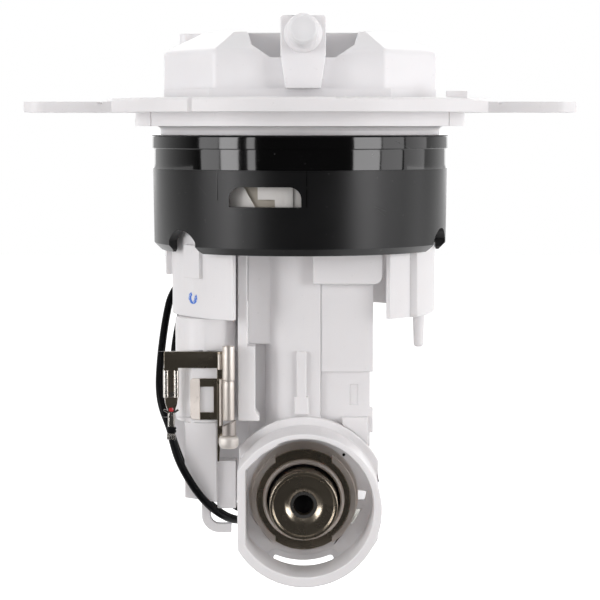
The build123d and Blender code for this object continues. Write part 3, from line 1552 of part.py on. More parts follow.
with BuildPart() as pump_cushion:
    with BuildSketch(Plane.XY.offset(holder_bottom)):
        with Locations(pump_axis):
            Circle(holder_bore_radius - fit_gap)
            Circle(strainer_neck_radius + fit_gap, mode=Mode.SUBTRACT)
        with Locations((pump_x, pump_y + impeller_radius - inlet_radius - 1)):
            Circle(inlet_radius, mode=Mode.SUBTRACT)
    extrude(amount=pump_bottom - holder_bottom)
save(pump_cushion, "pump_cushion")

with BuildPart() as inlet_strainer:
    with BuildSketch(Plane.XY.offset(holder_bottom - loose_gap)):
        with Locations((pump_x + strainer_shift_x, pump_y + strainer_shift_y)):
            RectangleRounded(strainer_length, strainer_width, 6)
    extrude(amount=-strainer_height)
    fillet(inlet_strainer.faces().sort_by(Axis.Z)[0].edges(), 3)
    with BuildSketch(Plane.XY.offset(holder_bottom - loose_gap)):
        with Locations(pump_axis):
            Circle(strainer_neck_radius)
    extrude(amount=strainer_neck_length + loose_gap)
save(inlet_strainer, "inlet_strainer")
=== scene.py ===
# Fuel pump module: looks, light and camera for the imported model. Metres, the model's own frame.
import json
from math import cos, pi, radians, sin

import bmesh
import bpy
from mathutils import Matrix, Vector


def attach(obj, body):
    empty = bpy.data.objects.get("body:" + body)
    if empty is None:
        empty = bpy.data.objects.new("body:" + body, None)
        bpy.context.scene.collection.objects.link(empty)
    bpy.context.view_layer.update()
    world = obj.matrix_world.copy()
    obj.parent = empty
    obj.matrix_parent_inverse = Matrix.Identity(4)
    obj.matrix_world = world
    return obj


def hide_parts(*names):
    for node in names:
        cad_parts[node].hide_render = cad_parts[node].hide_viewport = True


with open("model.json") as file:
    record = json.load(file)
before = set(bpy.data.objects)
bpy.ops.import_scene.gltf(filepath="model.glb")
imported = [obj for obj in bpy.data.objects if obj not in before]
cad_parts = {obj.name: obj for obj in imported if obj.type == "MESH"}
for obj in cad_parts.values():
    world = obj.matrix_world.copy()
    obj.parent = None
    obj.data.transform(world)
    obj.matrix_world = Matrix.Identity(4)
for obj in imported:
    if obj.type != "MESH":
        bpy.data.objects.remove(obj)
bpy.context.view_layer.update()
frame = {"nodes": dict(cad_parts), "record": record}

nodes = frame["nodes"]
mm = 0.001


# ------------------------------------------------------------------ camera
eye_distance, eye_level, eye_pitch = 0.720, -0.00427, 4.79
film_width, picture_width, focal_pixels = 36, 600, 2088
camera = bpy.data.objects.new("camera", bpy.data.cameras.new("camera"))
bpy.context.collection.objects.link(camera)
camera.location = (0, -eye_distance, eye_level)
camera.rotation_euler = (radians(90 - eye_pitch), 0, 0)
camera.data.sensor_width = film_width
camera.data.lens = film_width * focal_pixels / picture_width
bpy.context.scene.camera = camera
bpy.context.scene.view_settings.view_transform = "Standard"


# ------------------------------------------------------------------ making materials
class Figure:
    """A socket's value. Arithmetic on a number that changes over a surface adds Math nodes."""

    def __init__(self, wiring, socket):
        self.wiring, self.socket = wiring, socket

    def _maths(self, operation, first, second):
        return self.wiring.node("ShaderNodeMath", {"operation": operation}, {0: first, 1: second})

    def __add__(self, other):
        return self._maths("ADD", self, other)

    def __radd__(self, other):
        return self._maths("ADD", other, self)

    def __sub__(self, other):
        return self._maths("SUBTRACT", self, other)

    def __rsub__(self, other):
        return self._maths("SUBTRACT", other, self)

    def __mul__(self, other):
        return self._maths("MULTIPLY", self, other)

    def __rmul__(self, other):
        return self._maths("MULTIPLY", other, self)

    def between(self, low, high):
        """0 at low and under, 1 at high and over, smooth between them."""
        return self.wiring.node(
            "ShaderNodeMapRange", {"interpolation_type": "SMOOTHSTEP"},
            {"Value": self, "From Min": low, "From Max": high},
        )


class Wiring:
    """The nodes of a material or of the world, from an empty tree."""

    def __init__(self, owner):
        owner.use_nodes = True
        self.tree = owner.node_tree
        self.tree.nodes.clear()

    def node(self, kind, settings=None, values=None, out=0):
        """The one way a node is made: its settings first, then its sockets' values or links."""
        made = self.tree.nodes.new(kind)
        for setting, value in (settings or {}).items():
            setattr(made, setting, value)
        for socket, value in (values or {}).items():
            self.feed(made.inputs[socket], value)
        return Figure(self, made.outputs[out]) if made.outputs else made

    def feed(self, socket, value):
        if isinstance(value, Figure):
            self.tree.links.new(value.socket, socket)
        else:
            socket.default_value = value

    def outputs(self, kind, names, values=None):
        """Several outputs of one node."""
        sockets = self.node(kind, {}, values).socket.node.outputs
        return [Figure(self, sockets[name]) for name in names]


class Finish(Wiring):
    """One material. Steady values go on the shader's own sockets."""

    def __init__(self, name, steady):
        self.material = bpy.data.materials.new(name)
        super().__init__(self.material)
        self.shader = self.node("ShaderNodeBsdfPrincipled", {}, steady)
        self.end = self.node("ShaderNodeOutputMaterial", {}, {0: self.shader})

    def place(self, stretch=(1, 1, 1)):
        """Object coordinates, stretched."""
        here = self.node("ShaderNodeTexCoord", out="Object")
        return self.node("ShaderNodeMapping", {}, {"Vector": here, "Scale": stretch})

    def noise(self, scale, detail=3, stretch=(1, 1, 1), rough=0.5):
        return self.node(
            "ShaderNodeTexNoise", {},
            {"Vector": self.place(stretch), "Scale": scale, "Detail": detail, "Roughness": rough}, "Fac",
        )

    def mix(self, factor, first, second):
        """Two colours, mixed by a number."""
        return self.node(
            "ShaderNodeMix", {"data_type": "RGBA"}, {0: factor, 6: first, 7: second}, 2,
        )

    def hairline(self, start, end, width=0.00012):
        """1 on a thin straight scratch from start to end (mm), fading to 0 beside it."""
        run = (Vector(end) - Vector(start)) * mm
        here = self.node("ShaderNodeTexCoord", out="Object")
        first = tuple(c * mm for c in start)
        off = self.node("ShaderNodeVectorMath", {"operation": "SUBTRACT"}, {0: here, 1: first})
        along = self.node(
            "ShaderNodeVectorMath", {"operation": "DOT_PRODUCT"},
            {0: off, 1: tuple(run / run.length_squared)}, "Value",
        )
        reach = self.node("ShaderNodeClamp", {}, {"Value": along})
        nearest = self.node(
            "ShaderNodeVectorMath", {"operation": "SCALE"}, {0: tuple(run), "Scale": reach},
        )
        gap = self.node("ShaderNodeVectorMath", {"operation": "DISTANCE"}, {0: off, 1: nearest}, "Value")
        return 1 - gap.between(width * 0.3, width)

    def surface(self, colour, roughness, height, depth, strength=0.3):
        """Feeds what changes over the surface: its colour, roughness and a bump of this depth."""
        bump = self.node(
            "ShaderNodeBump", {}, {"Strength": strength, "Distance": depth, "Height": height},
        )
        sockets = self.shader.socket.node.inputs
        self.feed(sockets["Base Color"], colour)
        self.feed(sockets["Roughness"], roughness)
        self.feed(sockets["Normal"], bump)
        return self.material


dust_grey, rub_grey = (0.12, 0.12, 0.12, 1), (0.5, 0.5, 0.5, 1)


def shade(colour, factor):
    return tuple(c * factor for c in colour[:3]) + (1,)


def natural_acetal(name, tint, rough=0.4, streaks=18, glow=0.22):
    """Undyed moulded plastic: milky, a little cloudy, with faint flow lines and small specks."""
    finish = Finish(name, {
        "Subsurface Weight": glow, "Subsurface Radius": (1.0, 0.9, 0.85),
        "Subsurface Scale": 0.0022, "IOR": 1.48, "Specular IOR Level": 0.45,
    })
    cloud = finish.noise(32, 4)
    fine = finish.noise(1300, 2)
    flow = finish.noise(95, 3, (1, 1, 1 / streaks))
    specks = finish.noise(620, 2).between(0.70, 0.74)
    colour = finish.mix(cloud.between(0.35, 0.68), shade(tint, 0.965), tint)
    colour = finish.mix(specks * 0.08, colour, shade(tint, 0.45))
    return finish.surface(
        colour, rough - 0.05 + cloud * 0.1 + fine * 0.05,
        fine * 0.35 + flow * 0.5, 0.00012, 0.3,
    )


def black_moulding(name, dark, pale, rough, bloom, grain, rubs, rub_shade, shine=0.5):
    """Black plastic: a faint bloom that comes and goes, fine grain, and the straight rubs given."""
    finish = Finish(name, {"IOR": 1.5, "Specular IOR Level": shine})
    cloud = finish.noise(24, 5, rough=0.62)
    low = finish.noise(9, 2)
    fine = finish.noise(1500, 2)
    dust = finish.noise(700, 2).between(0.72, 0.78)
    marks = finish.hairline(*rubs[0])
    for rub in rubs[1:]:
        marks = marks + finish.hairline(*rub)
    faded = cloud * 0.6 + low * 0.4
    colour = finish.mix(faded.between(0.36, 0.66) * bloom, dark, pale)
    colour = finish.mix(dust * 0.25, colour, dust_grey)
    colour = finish.mix(marks * rub_shade, colour, rub_grey)
    return finish.surface(
        colour, rough + (cloud - 0.5) * 0.12 + marks * 0.15,
        fine * grain - marks * 0.4, 0.00012, 0.3,
    )


def plated(name, tint, rough, brushed=(1, 1, 1), grime=0.25, stains=0.35):
    """Plated or bare metal: drawn grain, dull patches and small stains."""
    finish = Finish(name, {"Metallic": 1.0})
    grain = finish.noise(420, 3, brushed)
    dull = finish.noise(70, 4)
    stain = finish.noise(210, 3).between(0.60, 0.72)
    colour = finish.mix(dull.between(0.4, 0.7) * grime, tint, shade(tint, 0.72))
    colour = finish.mix(stain * stains, colour, shade(tint, 0.5))
    return finish.surface(
        colour, rough + (grain - 0.5) * 0.10 + dull.between(0.4, 0.7) * 0.06 + stain * stains * 0.3,
        grain, 0.00005, 0.08,
    )


def soft_black(name, rough, ripple):
    """Black insulation or rubber: faint ripple, dusty patches."""
    finish = Finish(name, {"IOR": 1.5, "Specular IOR Level": 0.12})
    cloud = finish.noise(140, 3)
    fine = finish.noise(900, 2)
    dust = finish.noise(420, 4).between(0.58, 0.74)
    colour = finish.mix(cloud, (0.002, 0.002, 0.0025, 1), (0.005, 0.005, 0.006, 1))
    colour = finish.mix(dust * 0.12, colour, (0.06, 0.058, 0.055, 1))
    return finish.surface(
        colour, rough + cloud * 0.14 + dust * 0.15, fine * ripple + cloud * 0.6, 0.0001, 0.3,
    )


def pressed_paper():
    finish = Finish("filter_paper", {})
    fibres = finish.noise(900, 4, (1, 1, 0.12))
    cloud = finish.noise(60, 3)
    colour = finish.mix(fibres, (0.60, 0.50, 0.31, 1), (0.80, 0.72, 0.52, 1))
    return finish.surface(colour, 0.8 + cloud * 0.15, fibres + cloud, 0.0003, 0.6)


def woven_nylon():
    """The strainer's cloth: a square weave of fine threads."""
    finish = Finish("strainer_cloth", {"Sheen Weight": 0.2})
    threads = 4200
    x, y, z = finish.outputs("ShaderNodeSeparateXYZ", "XYZ", {0: finish.place()})
    warp = finish.node("ShaderNodeMath", {"operation": "SINE"}, {0: (x + z) * threads})
    weft = finish.node("ShaderNodeMath", {"operation": "SINE"}, {0: (y + z) * threads})
    weave = warp * weft * 0.5 + 0.5
    cloud = finish.noise(45, 3)
    colour = finish.mix(weave, (0.42, 0.42, 0.38, 1), (0.80, 0.80, 0.74, 1))
    colour = finish.mix(cloud.between(0.5, 0.8) * 0.4, colour, (0.55, 0.52, 0.42, 1))
    return finish.surface(colour, 0.65 + weave * 0.15, weave, 0.00012, 0.6)


def sintered(name, dark, pale, rough):
    """Ferrite, carbon, resin and other dull inner parts."""
    finish = Finish(name, {})
    grit = finish.noise(800, 4)
    cloud = finish.noise(90, 3)
    colour = finish.mix(grit * 0.6 + cloud * 0.4, dark, pale)
    return finish.surface(colour, rough + grit * 0.15, grit + cloud * 0.4, 0.0002, 0.4)


white = (0.80, 0.785, 0.79, 1)
# the colour of the recess inside the ring's window: painted shade
recess_shade = (0.40, 0.36, 0.30, 1)
ink = (0.05, 0.17, 0.62, 1)
finishes = {
    "white_pom": natural_acetal("housing_acetal", white),
    "dome_pom": natural_acetal("cover_acetal", (0.83, 0.82, 0.83, 1), 0.34, 6, 0.25),
    "gloss_black": black_moulding(
        "ring_gloss", (0.0012, 0.0012, 0.0014, 1), (0.002, 0.002, 0.0022, 1), 0.08, 1.0, 0.02,
        [((-22, -46.6, -10), (-19, -47.8, -13), 0.0001), ((31, -41.3, -9.5), (36, -37, -12), 0.0001)],
        0.05),
    "matt_black": black_moulding(
        "ring_charcoal", (0.0035, 0.0035, 0.0038, 1), (0.0065, 0.0065, 0.007, 1), 0.33, 1.0, 0.12,
        [((24, -44.2, -30.6), (28, -41.8, -32.2)), ((25, -43.6, -31.6), (27.5, -42, -33.6)),
         ((-33, -38, -24), (-30.5, -40, -27)), ((8, -49.8, -36), (13, -48.8, -37))], 0.07, 0.3),
    "nickel": plated("warm_nickel", (0.80, 0.745, 0.69, 1), 0.5, (1, 1, 0.1), 0.2, 0.2),
    "dark_nickel": plated("dark_nickel", (0.42, 0.365, 0.29, 1), 0.24, (0.2, 1, 1), 0.3, 0.2),
    "tin": plated("tinned_brass", (0.74, 0.71, 0.66, 1), 0.12, (1, 1, 0.05), 0.15, 0.1),
    "steel": plated("ground_steel", (0.50, 0.50, 0.51, 1), 0.3, (1, 1, 0.1)),
    "spring_steel": plated("spring_steel", (0.45, 0.44, 0.43, 1), 0.25),
    "alloy": plated("cast_alloy", (0.58, 0.58, 0.59, 1), 0.5),
    "copper": plated("segment_copper", (0.72, 0.38, 0.22, 1), 0.3, (1, 1, 0.1)),
    "black_wire": soft_black("wire_insulation", 0.34, 0.2),
    "black_rubber": soft_black("nitrile_rubber", 0.55, 0.6),
    "filter_paper": pressed_paper(),
    "strainer_mesh": woven_nylon(),
    "carbon": sintered("brush_carbon", (0.01, 0.01, 0.01, 1), (0.05, 0.05, 0.05, 1), 0.6),
    "ferrite": sintered("ferrite", (0.03, 0.03, 0.035, 1), (0.08, 0.08, 0.09, 1), 0.6),
    "phenolic": sintered("phenolic_resin", (0.10, 0.05, 0.02, 1), (0.22, 0.12, 0.06, 1), 0.45),
}

slot_of = {row["node"]: row["material_slot"] for row in frame["record"]["subparts"]}
body_of = {n: b for b, held in frame["record"]["behaviour"]["bodies"].items() for n in held}
for node, piece in nodes.items():
    for index in range(len(piece.material_slots)):
        piece.material_slots[index].material = finishes[slot_of[node]]


# ------------------------------------------------------------------ leads
lead_routes = {
    "earth_lead": [
        (-42.8, -31.5, -107.2), (-42.1, -31.6, -109.9), (-40.9, -32.3, -113.9), (-39.2, -32.7, -117.8),
        (-36.7, -32.6, -122.3), (-33.4, -31.9, -127.4), (-30.1, -29.4, -131.5), (-26.9, -25.9, -134.7),
        (-23.4, -21.4, -137.4), (-20.4, -17.0, -138.5), (-16.0, -13.0, -138.8),
    ],
    "pump_lead": [
        (-41.4, 15.0, -58.0), (-45.2, 12.0, -63.0), (-46.7, 7.5, -70.2), (-47.7, 1.0, -78.6),
        (-48.2, -6.0, -86.9), (-48.2, -11.0, -93.9), (-47.2, -13.6, -100.0), (-44.8, -14.8, -105.8),
        (-42.9, -15.6, -111.8), (-40.7, -16.0, -118.0), (-37.2, -16.0, -125.0), (-32.4, -15.6, -131.6),
        (-26.4, -14.0, -137.2), (-20.8, -11.6, -139.7), (-16.0, -9.4, -140.6),
    ],
    "sensor_lead": [
        (-38.0, 7.4, -56.5), (-39.8, 4.4, -62.2), (-41.2, 0.6, -69.2), (-42.6, -3.6, -76.5),
        (-43.4, -6.4, -83.5), (-42.2, -7.0, -91.0), (-39.4, -6.8, -98.5), (-36.4, -6.4, -107.0),
        (-33.6, -6.0, -115.4), (-31.2, -6.0, -122.3), (-28.6, -6.2, -128.4), (-25.0, -6.4, -133.6),
        (-20.6, -6.4, -136.8), (-16.0, -5.6, -137.6),
    ],
}
# every lead's diameter in mm
lead_diameter = 2.6


def lead(name, route):
    """A wire whose line is a smooth spline over its route's points."""
    curve = bpy.data.curves.new(name + "_wire", "CURVE")
    curve.dimensions = "3D"
    curve.bevel_depth = lead_diameter / 2 * mm
    curve.bevel_resolution = 5
    curve.resolution_u = 10
    curve.use_fill_caps = True
    spline = curve.splines.new("NURBS")
    spline.points.add(len(route) - 1)
    for point, place in zip(spline.points, route):
        point.co = (*(c * mm for c in place), 1)
    spline.order_u = 3
    spline.use_endpoint_u = True
    piece = bpy.data.objects.new(name + "_wire", curve)
    bpy.context.collection.objects.link(piece)
    curve.materials.append(finishes["black_wire"])
    return piece


for name, route in lead_routes.items():
    wire = lead(name, route)
    start = route[-1] if name == "earth_lead" else route[0]
    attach(wire, "module")
    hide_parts(name)
    tuple(c * mm for c in start)


# ------------------------------------------------------------------ pieces
crease = radians(32)


def finished(name, mesh, slot, body, replaced=(), rounding=0.0, finish=None):
    """Makes a piece of a mesh: its finish (the slot's, unless one is given), smooth shading, rounded edges
    and body; it hides the nodes it replaces.
    """
    mesh.materials.clear()
    mesh.materials.append(finish or finishes[slot])
    mesh.polygons.foreach_set("use_smooth", [True] * len(mesh.polygons))
    mesh.set_sharp_from_angle(angle=crease)
    piece = bpy.data.objects.new(name, mesh)
    bpy.context.collection.objects.link(piece)
    if rounding:
        bevel = piece.modifiers.new("rounded_edges", "BEVEL")
        bevel.width = rounding * mm
        bevel.segments = 2
        bevel.limit_method = "ANGLE"
        bevel.angle_limit = crease
        bevel.use_clamp_overlap = False
        bevel.harden_normals = True
    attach(piece, body)
    if replaced:
        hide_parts(*replaced)


def softened(node, rounding):
    """A copy of a CAD node with its sharp edges rounded, as a moulding's or a pressing's are."""
    made = bmesh.new()
    made.from_mesh(nodes[node].data)
    bmesh.ops.remove_doubles(made, verts=made.verts, dist=0.00002)
    bmesh.ops.dissolve_limit(
        made, angle_limit=radians(0.4), use_dissolve_boundaries=False, verts=made.verts, edges=made.edges,
    )
    mesh = bpy.data.meshes.new(node + "_soft")
    made.to_mesh(mesh)
    made.free()
    finished(node + "_soft", mesh, slot_of[node], body_of[node], (node,), rounding)


for node, rounding in (
    ("outlet_fitting", 0.3), ("connector_shroud", 0.3), ("filter_case", 0.2),
    ("fuel_duct", 0.25), ("catch_lip", 0.4), ("drip_leg", 0.3), ("pump_holder", 0.15),
    ("sensor_tower", 0.35), ("snap_rail", 0.3), ("rear_case", 0.4), ("wire_hook", 0.3),
    ("regulator_holder", 0.5), ("pump_plug", 0.3), ("regulator_body", 0.12),
    ("regulator_retainer", 0.2), ("earth_strap", 0.12),
):
    softened(node, rounding)


def eased(points, size, closed=False, steps=4):
    """The outline with its corners rounded."""
    result = []
    for i, point in enumerate(points):
        here = Vector(point)
        if not closed and i in (0, len(points) - 1):
            result.append(here)
            continue
        before, after = Vector(points[i - 1]) - here, Vector(points[(i + 1) % len(points)]) - here
        reach = min(size, before.length * 0.48, after.length * 0.48)
        start, end = here + before.normalized() * reach, here + after.normalized() * reach
        for step in range(steps + 1):
            t = step / steps
            result.append(start.lerp(here, t).lerp(here.lerp(end, t), t))
    return result


def arc(centre, radius, first, last, steps=16):
    """Points of a circle's arc, by angles in degrees."""
    turns = [radians(first + (last - first) * i / steps) for i in range(steps + 1)]
    return [Vector((centre[0] + radius * cos(t), centre[1] + radius * sin(t))) for t in turns]


def closed_mesh(name, made):
    """The finished mesh of a shape: doubles merged, faces outwards."""
    bmesh.ops.remove_doubles(made, verts=made.verts, dist=0.000002)
    bmesh.ops.recalc_face_normals(made, faces=made.faces)
    mesh = bpy.data.meshes.new(name)
    made.to_mesh(mesh)
    made.free()
    return mesh


# where a drawn point (u, v) at w along an axis lies
placing = {
    "Y": lambda u, v, w: (u, w, v),
    "Z": lambda u, v, w: (u, v, w),
}


def turned(name, profile, centre, axis="Z", segments=128, loop=True):
    """A turned piece in mm. The profile has (radius, place along the axis); loop closes it."""
    made = bmesh.new()
    rings = []
    for radius, along in profile:
        turns = [2 * pi * i / segments for i in range(segments)] if radius > 0 else [0]
        rings.append([
            made.verts.new(Vector(placing[axis](
                centre[0] + radius * cos(t), centre[1] + radius * sin(t), along)) * mm)
            for t in turns
        ])
    for i in range(len(rings) if loop else len(rings) - 1):
        low, high = rings[i], rings[(i + 1) % len(rings)]
        for k in range(segments):
            corners = [low[k % len(low)], low[(k + 1) % len(low)],
                       high[(k + 1) % len(high)], high[k % len(high)]]
            corners = list(dict.fromkeys(corners))
            if len(corners) > 2:
                made.faces.new(corners)
    return closed_mesh(name, made)


def prism(made, outline, axis, low, high):
    """Adds a straight solid in mm: an outline drawn out along an axis."""
    ends = [[made.verts.new(Vector(placing[axis](u, v, w)) * mm) for u, v in outline] for w in (low, high)]
    made.faces.new(ends[0][::-1])
    made.faces.new(ends[1])
    for i in range(len(outline)):
        k = (i + 1) % len(outline)
        made.faces.new((ends[0][i], ends[0][k], ends[1][k], ends[1][i]))


def frame_prism(made, outer, inner, axis, low, high):
    """Adds a flat frame in mm: two outlines with as many points, drawn out along an axis."""
    loops = [[[made.verts.new(Vector(placing[axis](u, v, w)) * mm) for u, v in line]
              for line in (outer, inner)] for w in (low, high)]
    for i in range(len(outer)):
        k = (i + 1) % len(outer)
        for first, second in ((loops[0][0], loops[0][1]), (loops[1][0], loops[1][1]),
                              (loops[0][0], loops[1][0]), (loops[0][1], loops[1][1])):
            made.faces.new((first[i], first[k], second[k], second[i]))


def sheet(path, thickness):
    """The outline of a bent sheet whose middle follows the path."""
    sides = [[], []]
    for i, point in enumerate(path):
        run = (Vector(path[min(i + 1, len(path) - 1)]) - Vector(path[max(i - 1, 0)])).normalized()
        across = Vector((-run.y, run.x)) * thickness / 2
        sides[0].append(Vector(point) + across)
        sides[1].append(Vector(point) - across)
    return sides[0] + sides[1][::-1]


def rectangle(left, right, low, high):
    return [(left, low), (right, low), (right, high), (left, high)]


def strip(made, sections):
    """Adds a bar in mm that runs through its four-cornered sections, closed at both ends."""
    rows = [[made.verts.new(Vector(corner) * mm) for corner in section] for section in sections]
    for first, second in zip(rows, rows[1:]):
        for i in range(4):
            k = (i + 1) % 4
            made.faces.new((first[i], first[k], second[k], second[i]))
    made.faces.new(rows[0])
    made.faces.new(rows[-1][::-1])


def on_wall(x, z, radius):
    """The point with this x and z on the front of a round wall."""
    return x, -(radius ** 2 - x ** 2) ** 0.5, z


def wrapped(made, columns, inner, outer):
    """Adds a plate in mm that lies on the front of a round wall: columns of (x, low, high)."""
    strip(made, [
        [on_wall(x, z, radius) for radius, z in ((outer, low), (outer, high), (inner, high), (inner, low))]
        for x, low, high in columns
    ])


def spread(left, right, low, high, low_end=None, high_end=None, steps=8):
    """Columns of a plate from left to right, whose edges may slope."""
    low_end = low if low_end is None else low_end
    high_end = high if high_end is None else high_end
    return [
        (left + (right - left) * i / steps, low + (low_end - low) * i / steps,
         high + (high_end - high) * i / steps)
        for i in range(steps + 1)
    ]


def row_tree():
    """Copies of a shape in a straight row, made solid and given a finish."""
    tree = bpy.data.node_groups.new("row_of_copies", "GeometryNodeTree")
    face = tree.interface
    face.new_socket("Unit", in_out="INPUT", socket_type="NodeSocketGeometry")
    face.new_socket("Copies", in_out="INPUT", socket_type="NodeSocketInt")
    face.new_socket("Step", in_out="INPUT", socket_type="NodeSocketVector")
    face.new_socket("Finish", in_out="INPUT", socket_type="NodeSocketMaterial")
    face.new_socket("Row", in_out="OUTPUT", socket_type="NodeSocketGeometry")
    given, result = tree.nodes.new("NodeGroupInput"), tree.nodes.new("NodeGroupOutput")
    line = tree.nodes.new("GeometryNodeMeshLine")
    line.mode = "OFFSET"
    copies = tree.nodes.new("GeometryNodeInstanceOnPoints")
    solid = tree.nodes.new("GeometryNodeRealizeInstances")
    finish = tree.nodes.new("GeometryNodeSetMaterial")
    for source, target in (
        (given.outputs["Copies"], line.inputs["Count"]), (given.outputs["Step"], line.inputs["Offset"]),
        (line.outputs["Mesh"], copies.inputs["Points"]), (given.outputs["Unit"], copies.inputs["Instance"]),
        (copies.outputs["Instances"], solid.inputs["Geometry"]),
        (solid.outputs["Geometry"], finish.inputs["Geometry"]),
        (given.outputs["Finish"], finish.inputs["Material"]),
        (finish.outputs["Geometry"], result.inputs["Row"]),
    ):
        tree.links.new(source, target)
    return tree


row_of_copies = row_tree()


def row(name, unit, copies, step, slot):
    """A plain mesh of a unit's copies, a step in mm apart."""
    holder = bpy.data.objects.new(name + "_unit", unit)
    bpy.context.collection.objects.link(holder)
    rule = holder.modifiers.new("row", "NODES")
    rule.node_group = row_of_copies
    ids = {item.name: item.identifier for item in row_of_copies.interface.items_tree}
    rule[ids["Copies"]] = copies
    rule[ids["Step"]] = [c * mm for c in step]
    rule[ids["Finish"]] = finishes[slot]
    bpy.context.view_layer.update()
    made = holder.evaluated_get(bpy.context.evaluated_depsgraph_get())
    mesh = bpy.data.meshes.new_from_object(made)
    mesh.name = name
    bpy.data.objects.remove(holder)
    return mesh


def built(name, shapes, slot, replaced=(), rounding=0.0, finish=None):
    """A piece of straight solids, on the module: shapes add themselves to its mesh."""
    made = bmesh.new()
    for shape in shapes:
        shape(made)
    finished(name, closed_mesh(name, made), slot, "module", replaced, rounding, finish)


# ------------------------------------------------------------------ snap ring
finished("snap_ring_band", turned("snap_ring_band", eased([
    (47.85, -15.3), (47.85, -9.1), (49.4, -7.55), (51.6, -7.55), (51.6, -11.88),
], 0.8) + eased([
    (51.6, -11.9), (51.45, -11.98), (50.9, -12.0), (50.8, -12.15), (50.85, -12.4), (50.85, -18.85),
    (48.9, -18.85), (48.9, -15.3),
], 0.08), (0, 0), "Z", 256), "gloss_black", "module", ("ring_cap",))

# inside the ring's window: the case's ribbed wall and the opening to the filter. The wall's plates take a
# darker grey acetal as painted shade for the shade inside the ring, and the opening is a dark plate painted
# as shade.
window_shade_acetal = natural_acetal("window_acetal_painted_shade", (0.66, 0.64, 0.615, 1), 0.55)
window_low, window_high = -31.6, -23.6
plate_back, plate_front = 44.6, 46.0
slit_back, slit_front, slit_top = 50.1, 50.55, -19.0
built("window_plate_left", [lambda m: wrapped(
    m, spread(-25.5, -18.6, window_low, window_high)
    + spread(-18.3, -14.5, window_low, -24.3, window_low, -30.9), plate_back, plate_front,
)], "white_pom", finish=window_shade_acetal)
built("window_plate_right", [lambda m: wrapped(
    m, spread(-13.7, -8.15, -28.35, window_high) + spread(-8.05, 2.2, window_low, window_high),
    plate_back, plate_front,
)], "white_pom", finish=window_shade_acetal)
built("window_strip", [lambda m: wrapped(m, spread(-5.2, -2.3, -31.5, -23.7), 46.05, 46.6)],
      "white_pom", finish=window_shade_acetal)
# a dark plate in the recess: painted shade
built("window_recess", [lambda m: wrapped(m, spread(-19.5, -7.0, window_low, window_high), 44.55, 44.75)],
      "white_pom", finish=natural_acetal("shaded_acetal", recess_shade, 0.6))
built("tab_slits", [
    lambda m: wrapped(m, spread(-26.95, -26.81, -28.6, slit_top, steps=1), slit_back, slit_front),
    lambda m: wrapped(m, spread(2.1, 2.22, -30.6, slit_top, steps=1), slit_back, slit_front),
], "gloss_black")

# ------------------------------------------------------------------ pressure regulator
regulator = (1.2, -128.7)
finished("regulator_can", turned("regulator_can", eased([
    (11.3, -31.8), (11.3, -43.8), (10.15, -43.8), (10.0, -43.2), (6.3, -43.2), (5.2, -42.6), (3.5, -41.3),
    (3.1, -40.6), (3.1, -38.5), (3.6, -38.5), (3.6, -40.4), (5.3, -41.9), (6.4, -42.6), (10.6, -42.6),
    (10.6, -31.8),
], 0.62, True), regulator, "Y"), "dark_nickel", "module", ("regulator_cup",))
# the swaged bead takes the paler nickel instead of the regulator's dark nickel: a painted highlight for the
# light its curve catches
finished("regulator_swage", turned("regulator_swage", eased([
    (12.15, -31.8), (12.15, -33.6), (12.8, -33.7), (13.6, -33.0), (13.7, -31.8),
], 0.35, True), regulator, "Y"), "dark_nickel", "module", ("regulator_bead",), finish=finishes["nickel"])
# a black ring in the gap between the cup and the swage: painted shade for the dark gap
finished("regulator_gap_shade", turned("regulator_gap_shade", eased([
    (11.32, -31.82), (11.32, -32.5), (12.1, -32.5), (12.1, -31.82),
], 0.15, True), regulator, "Y"), "black_rubber", "module")
# the dark disc that closes the cup's hole: painted shade standing for the dark inside of the hole
finished("regulator_hole_shade", turned("regulator_hole_shade", [
    (0, -38.6), (3.1, -38.6), (3.1, -38.1), (0, -38.1),
], regulator, "Y", 48, False), "black_rubber", "module")

# the drain slot's curve: its centre, its radius and its ends' angles in degrees
slot_centre, slot_reach, slot_first, slot_last = (1.0, -125.5), 25.0, 248.5, 291.5


def crescent(half):
    """The outline of the slot's curve with round ends. half is half of its width."""
    near, far = (arc(slot_centre, slot_reach, turn, turn, 1)[0] for turn in (slot_first, slot_last))
    return (arc(slot_centre, slot_reach + half, slot_first, slot_last)
            + arc(far, half, slot_last, slot_last + 180)
            + arc(slot_centre, slot_reach - half, slot_last, slot_first)
            + arc(near, half, slot_first - 180, slot_first))


built("slot_lip", [lambda m: frame_prism(m, crescent(3.0), crescent(1.0), "Y", -30.2, -29.95)],
      "white_pom", (), 0.05)
# a thin dark disc on the back plate: painted shade standing for a pin hole
pin_place, pin_radius, pin_front, pin_back = (14.6, -113.9), 0.5, -30.06, -29.9
finished("pin_hole_shade", turned("pin_hole_shade", eased([
    (0, pin_front), (pin_radius, pin_front), (pin_radius, pin_back), (0, pin_back),
], 0.03), pin_place, "Y", 32, False), "black_rubber", "module")

# ------------------------------------------------------------------ level sensor
can = (-23.6, -34.4)
finished("sensor_sleeve", turned("sensor_sleeve", eased([
    (0, -78.0), (1.55, -78.0), (1.6, -77.1), (2.0, -76.95), (2.0, -88.3), (1.72, -88.5), (1.72, -88.75),
    (1.86, -88.95), (1.86, -101.7), (0, -101.7),
], 0.3), can, "Z", 96, False), "nickel", "module", ("sensor_can",))
# the bulb's near-white nickel, paler than the tin it replaces: painted light for its bright top
finished("sensor_bulb", turned("sensor_bulb", eased([
    (0, -106.75), (2.4, -106.75), (3.3, -107.6), (3.3, -109.9), (2.6, -111.0), (0, -111.1),
], 0.9), can, "Z", 96, False), "tin", "module", ("sensor_tip",),
    finish=plated("bulb_nickel_painted_light", (0.99, 0.95, 0.90, 1), 0.62))


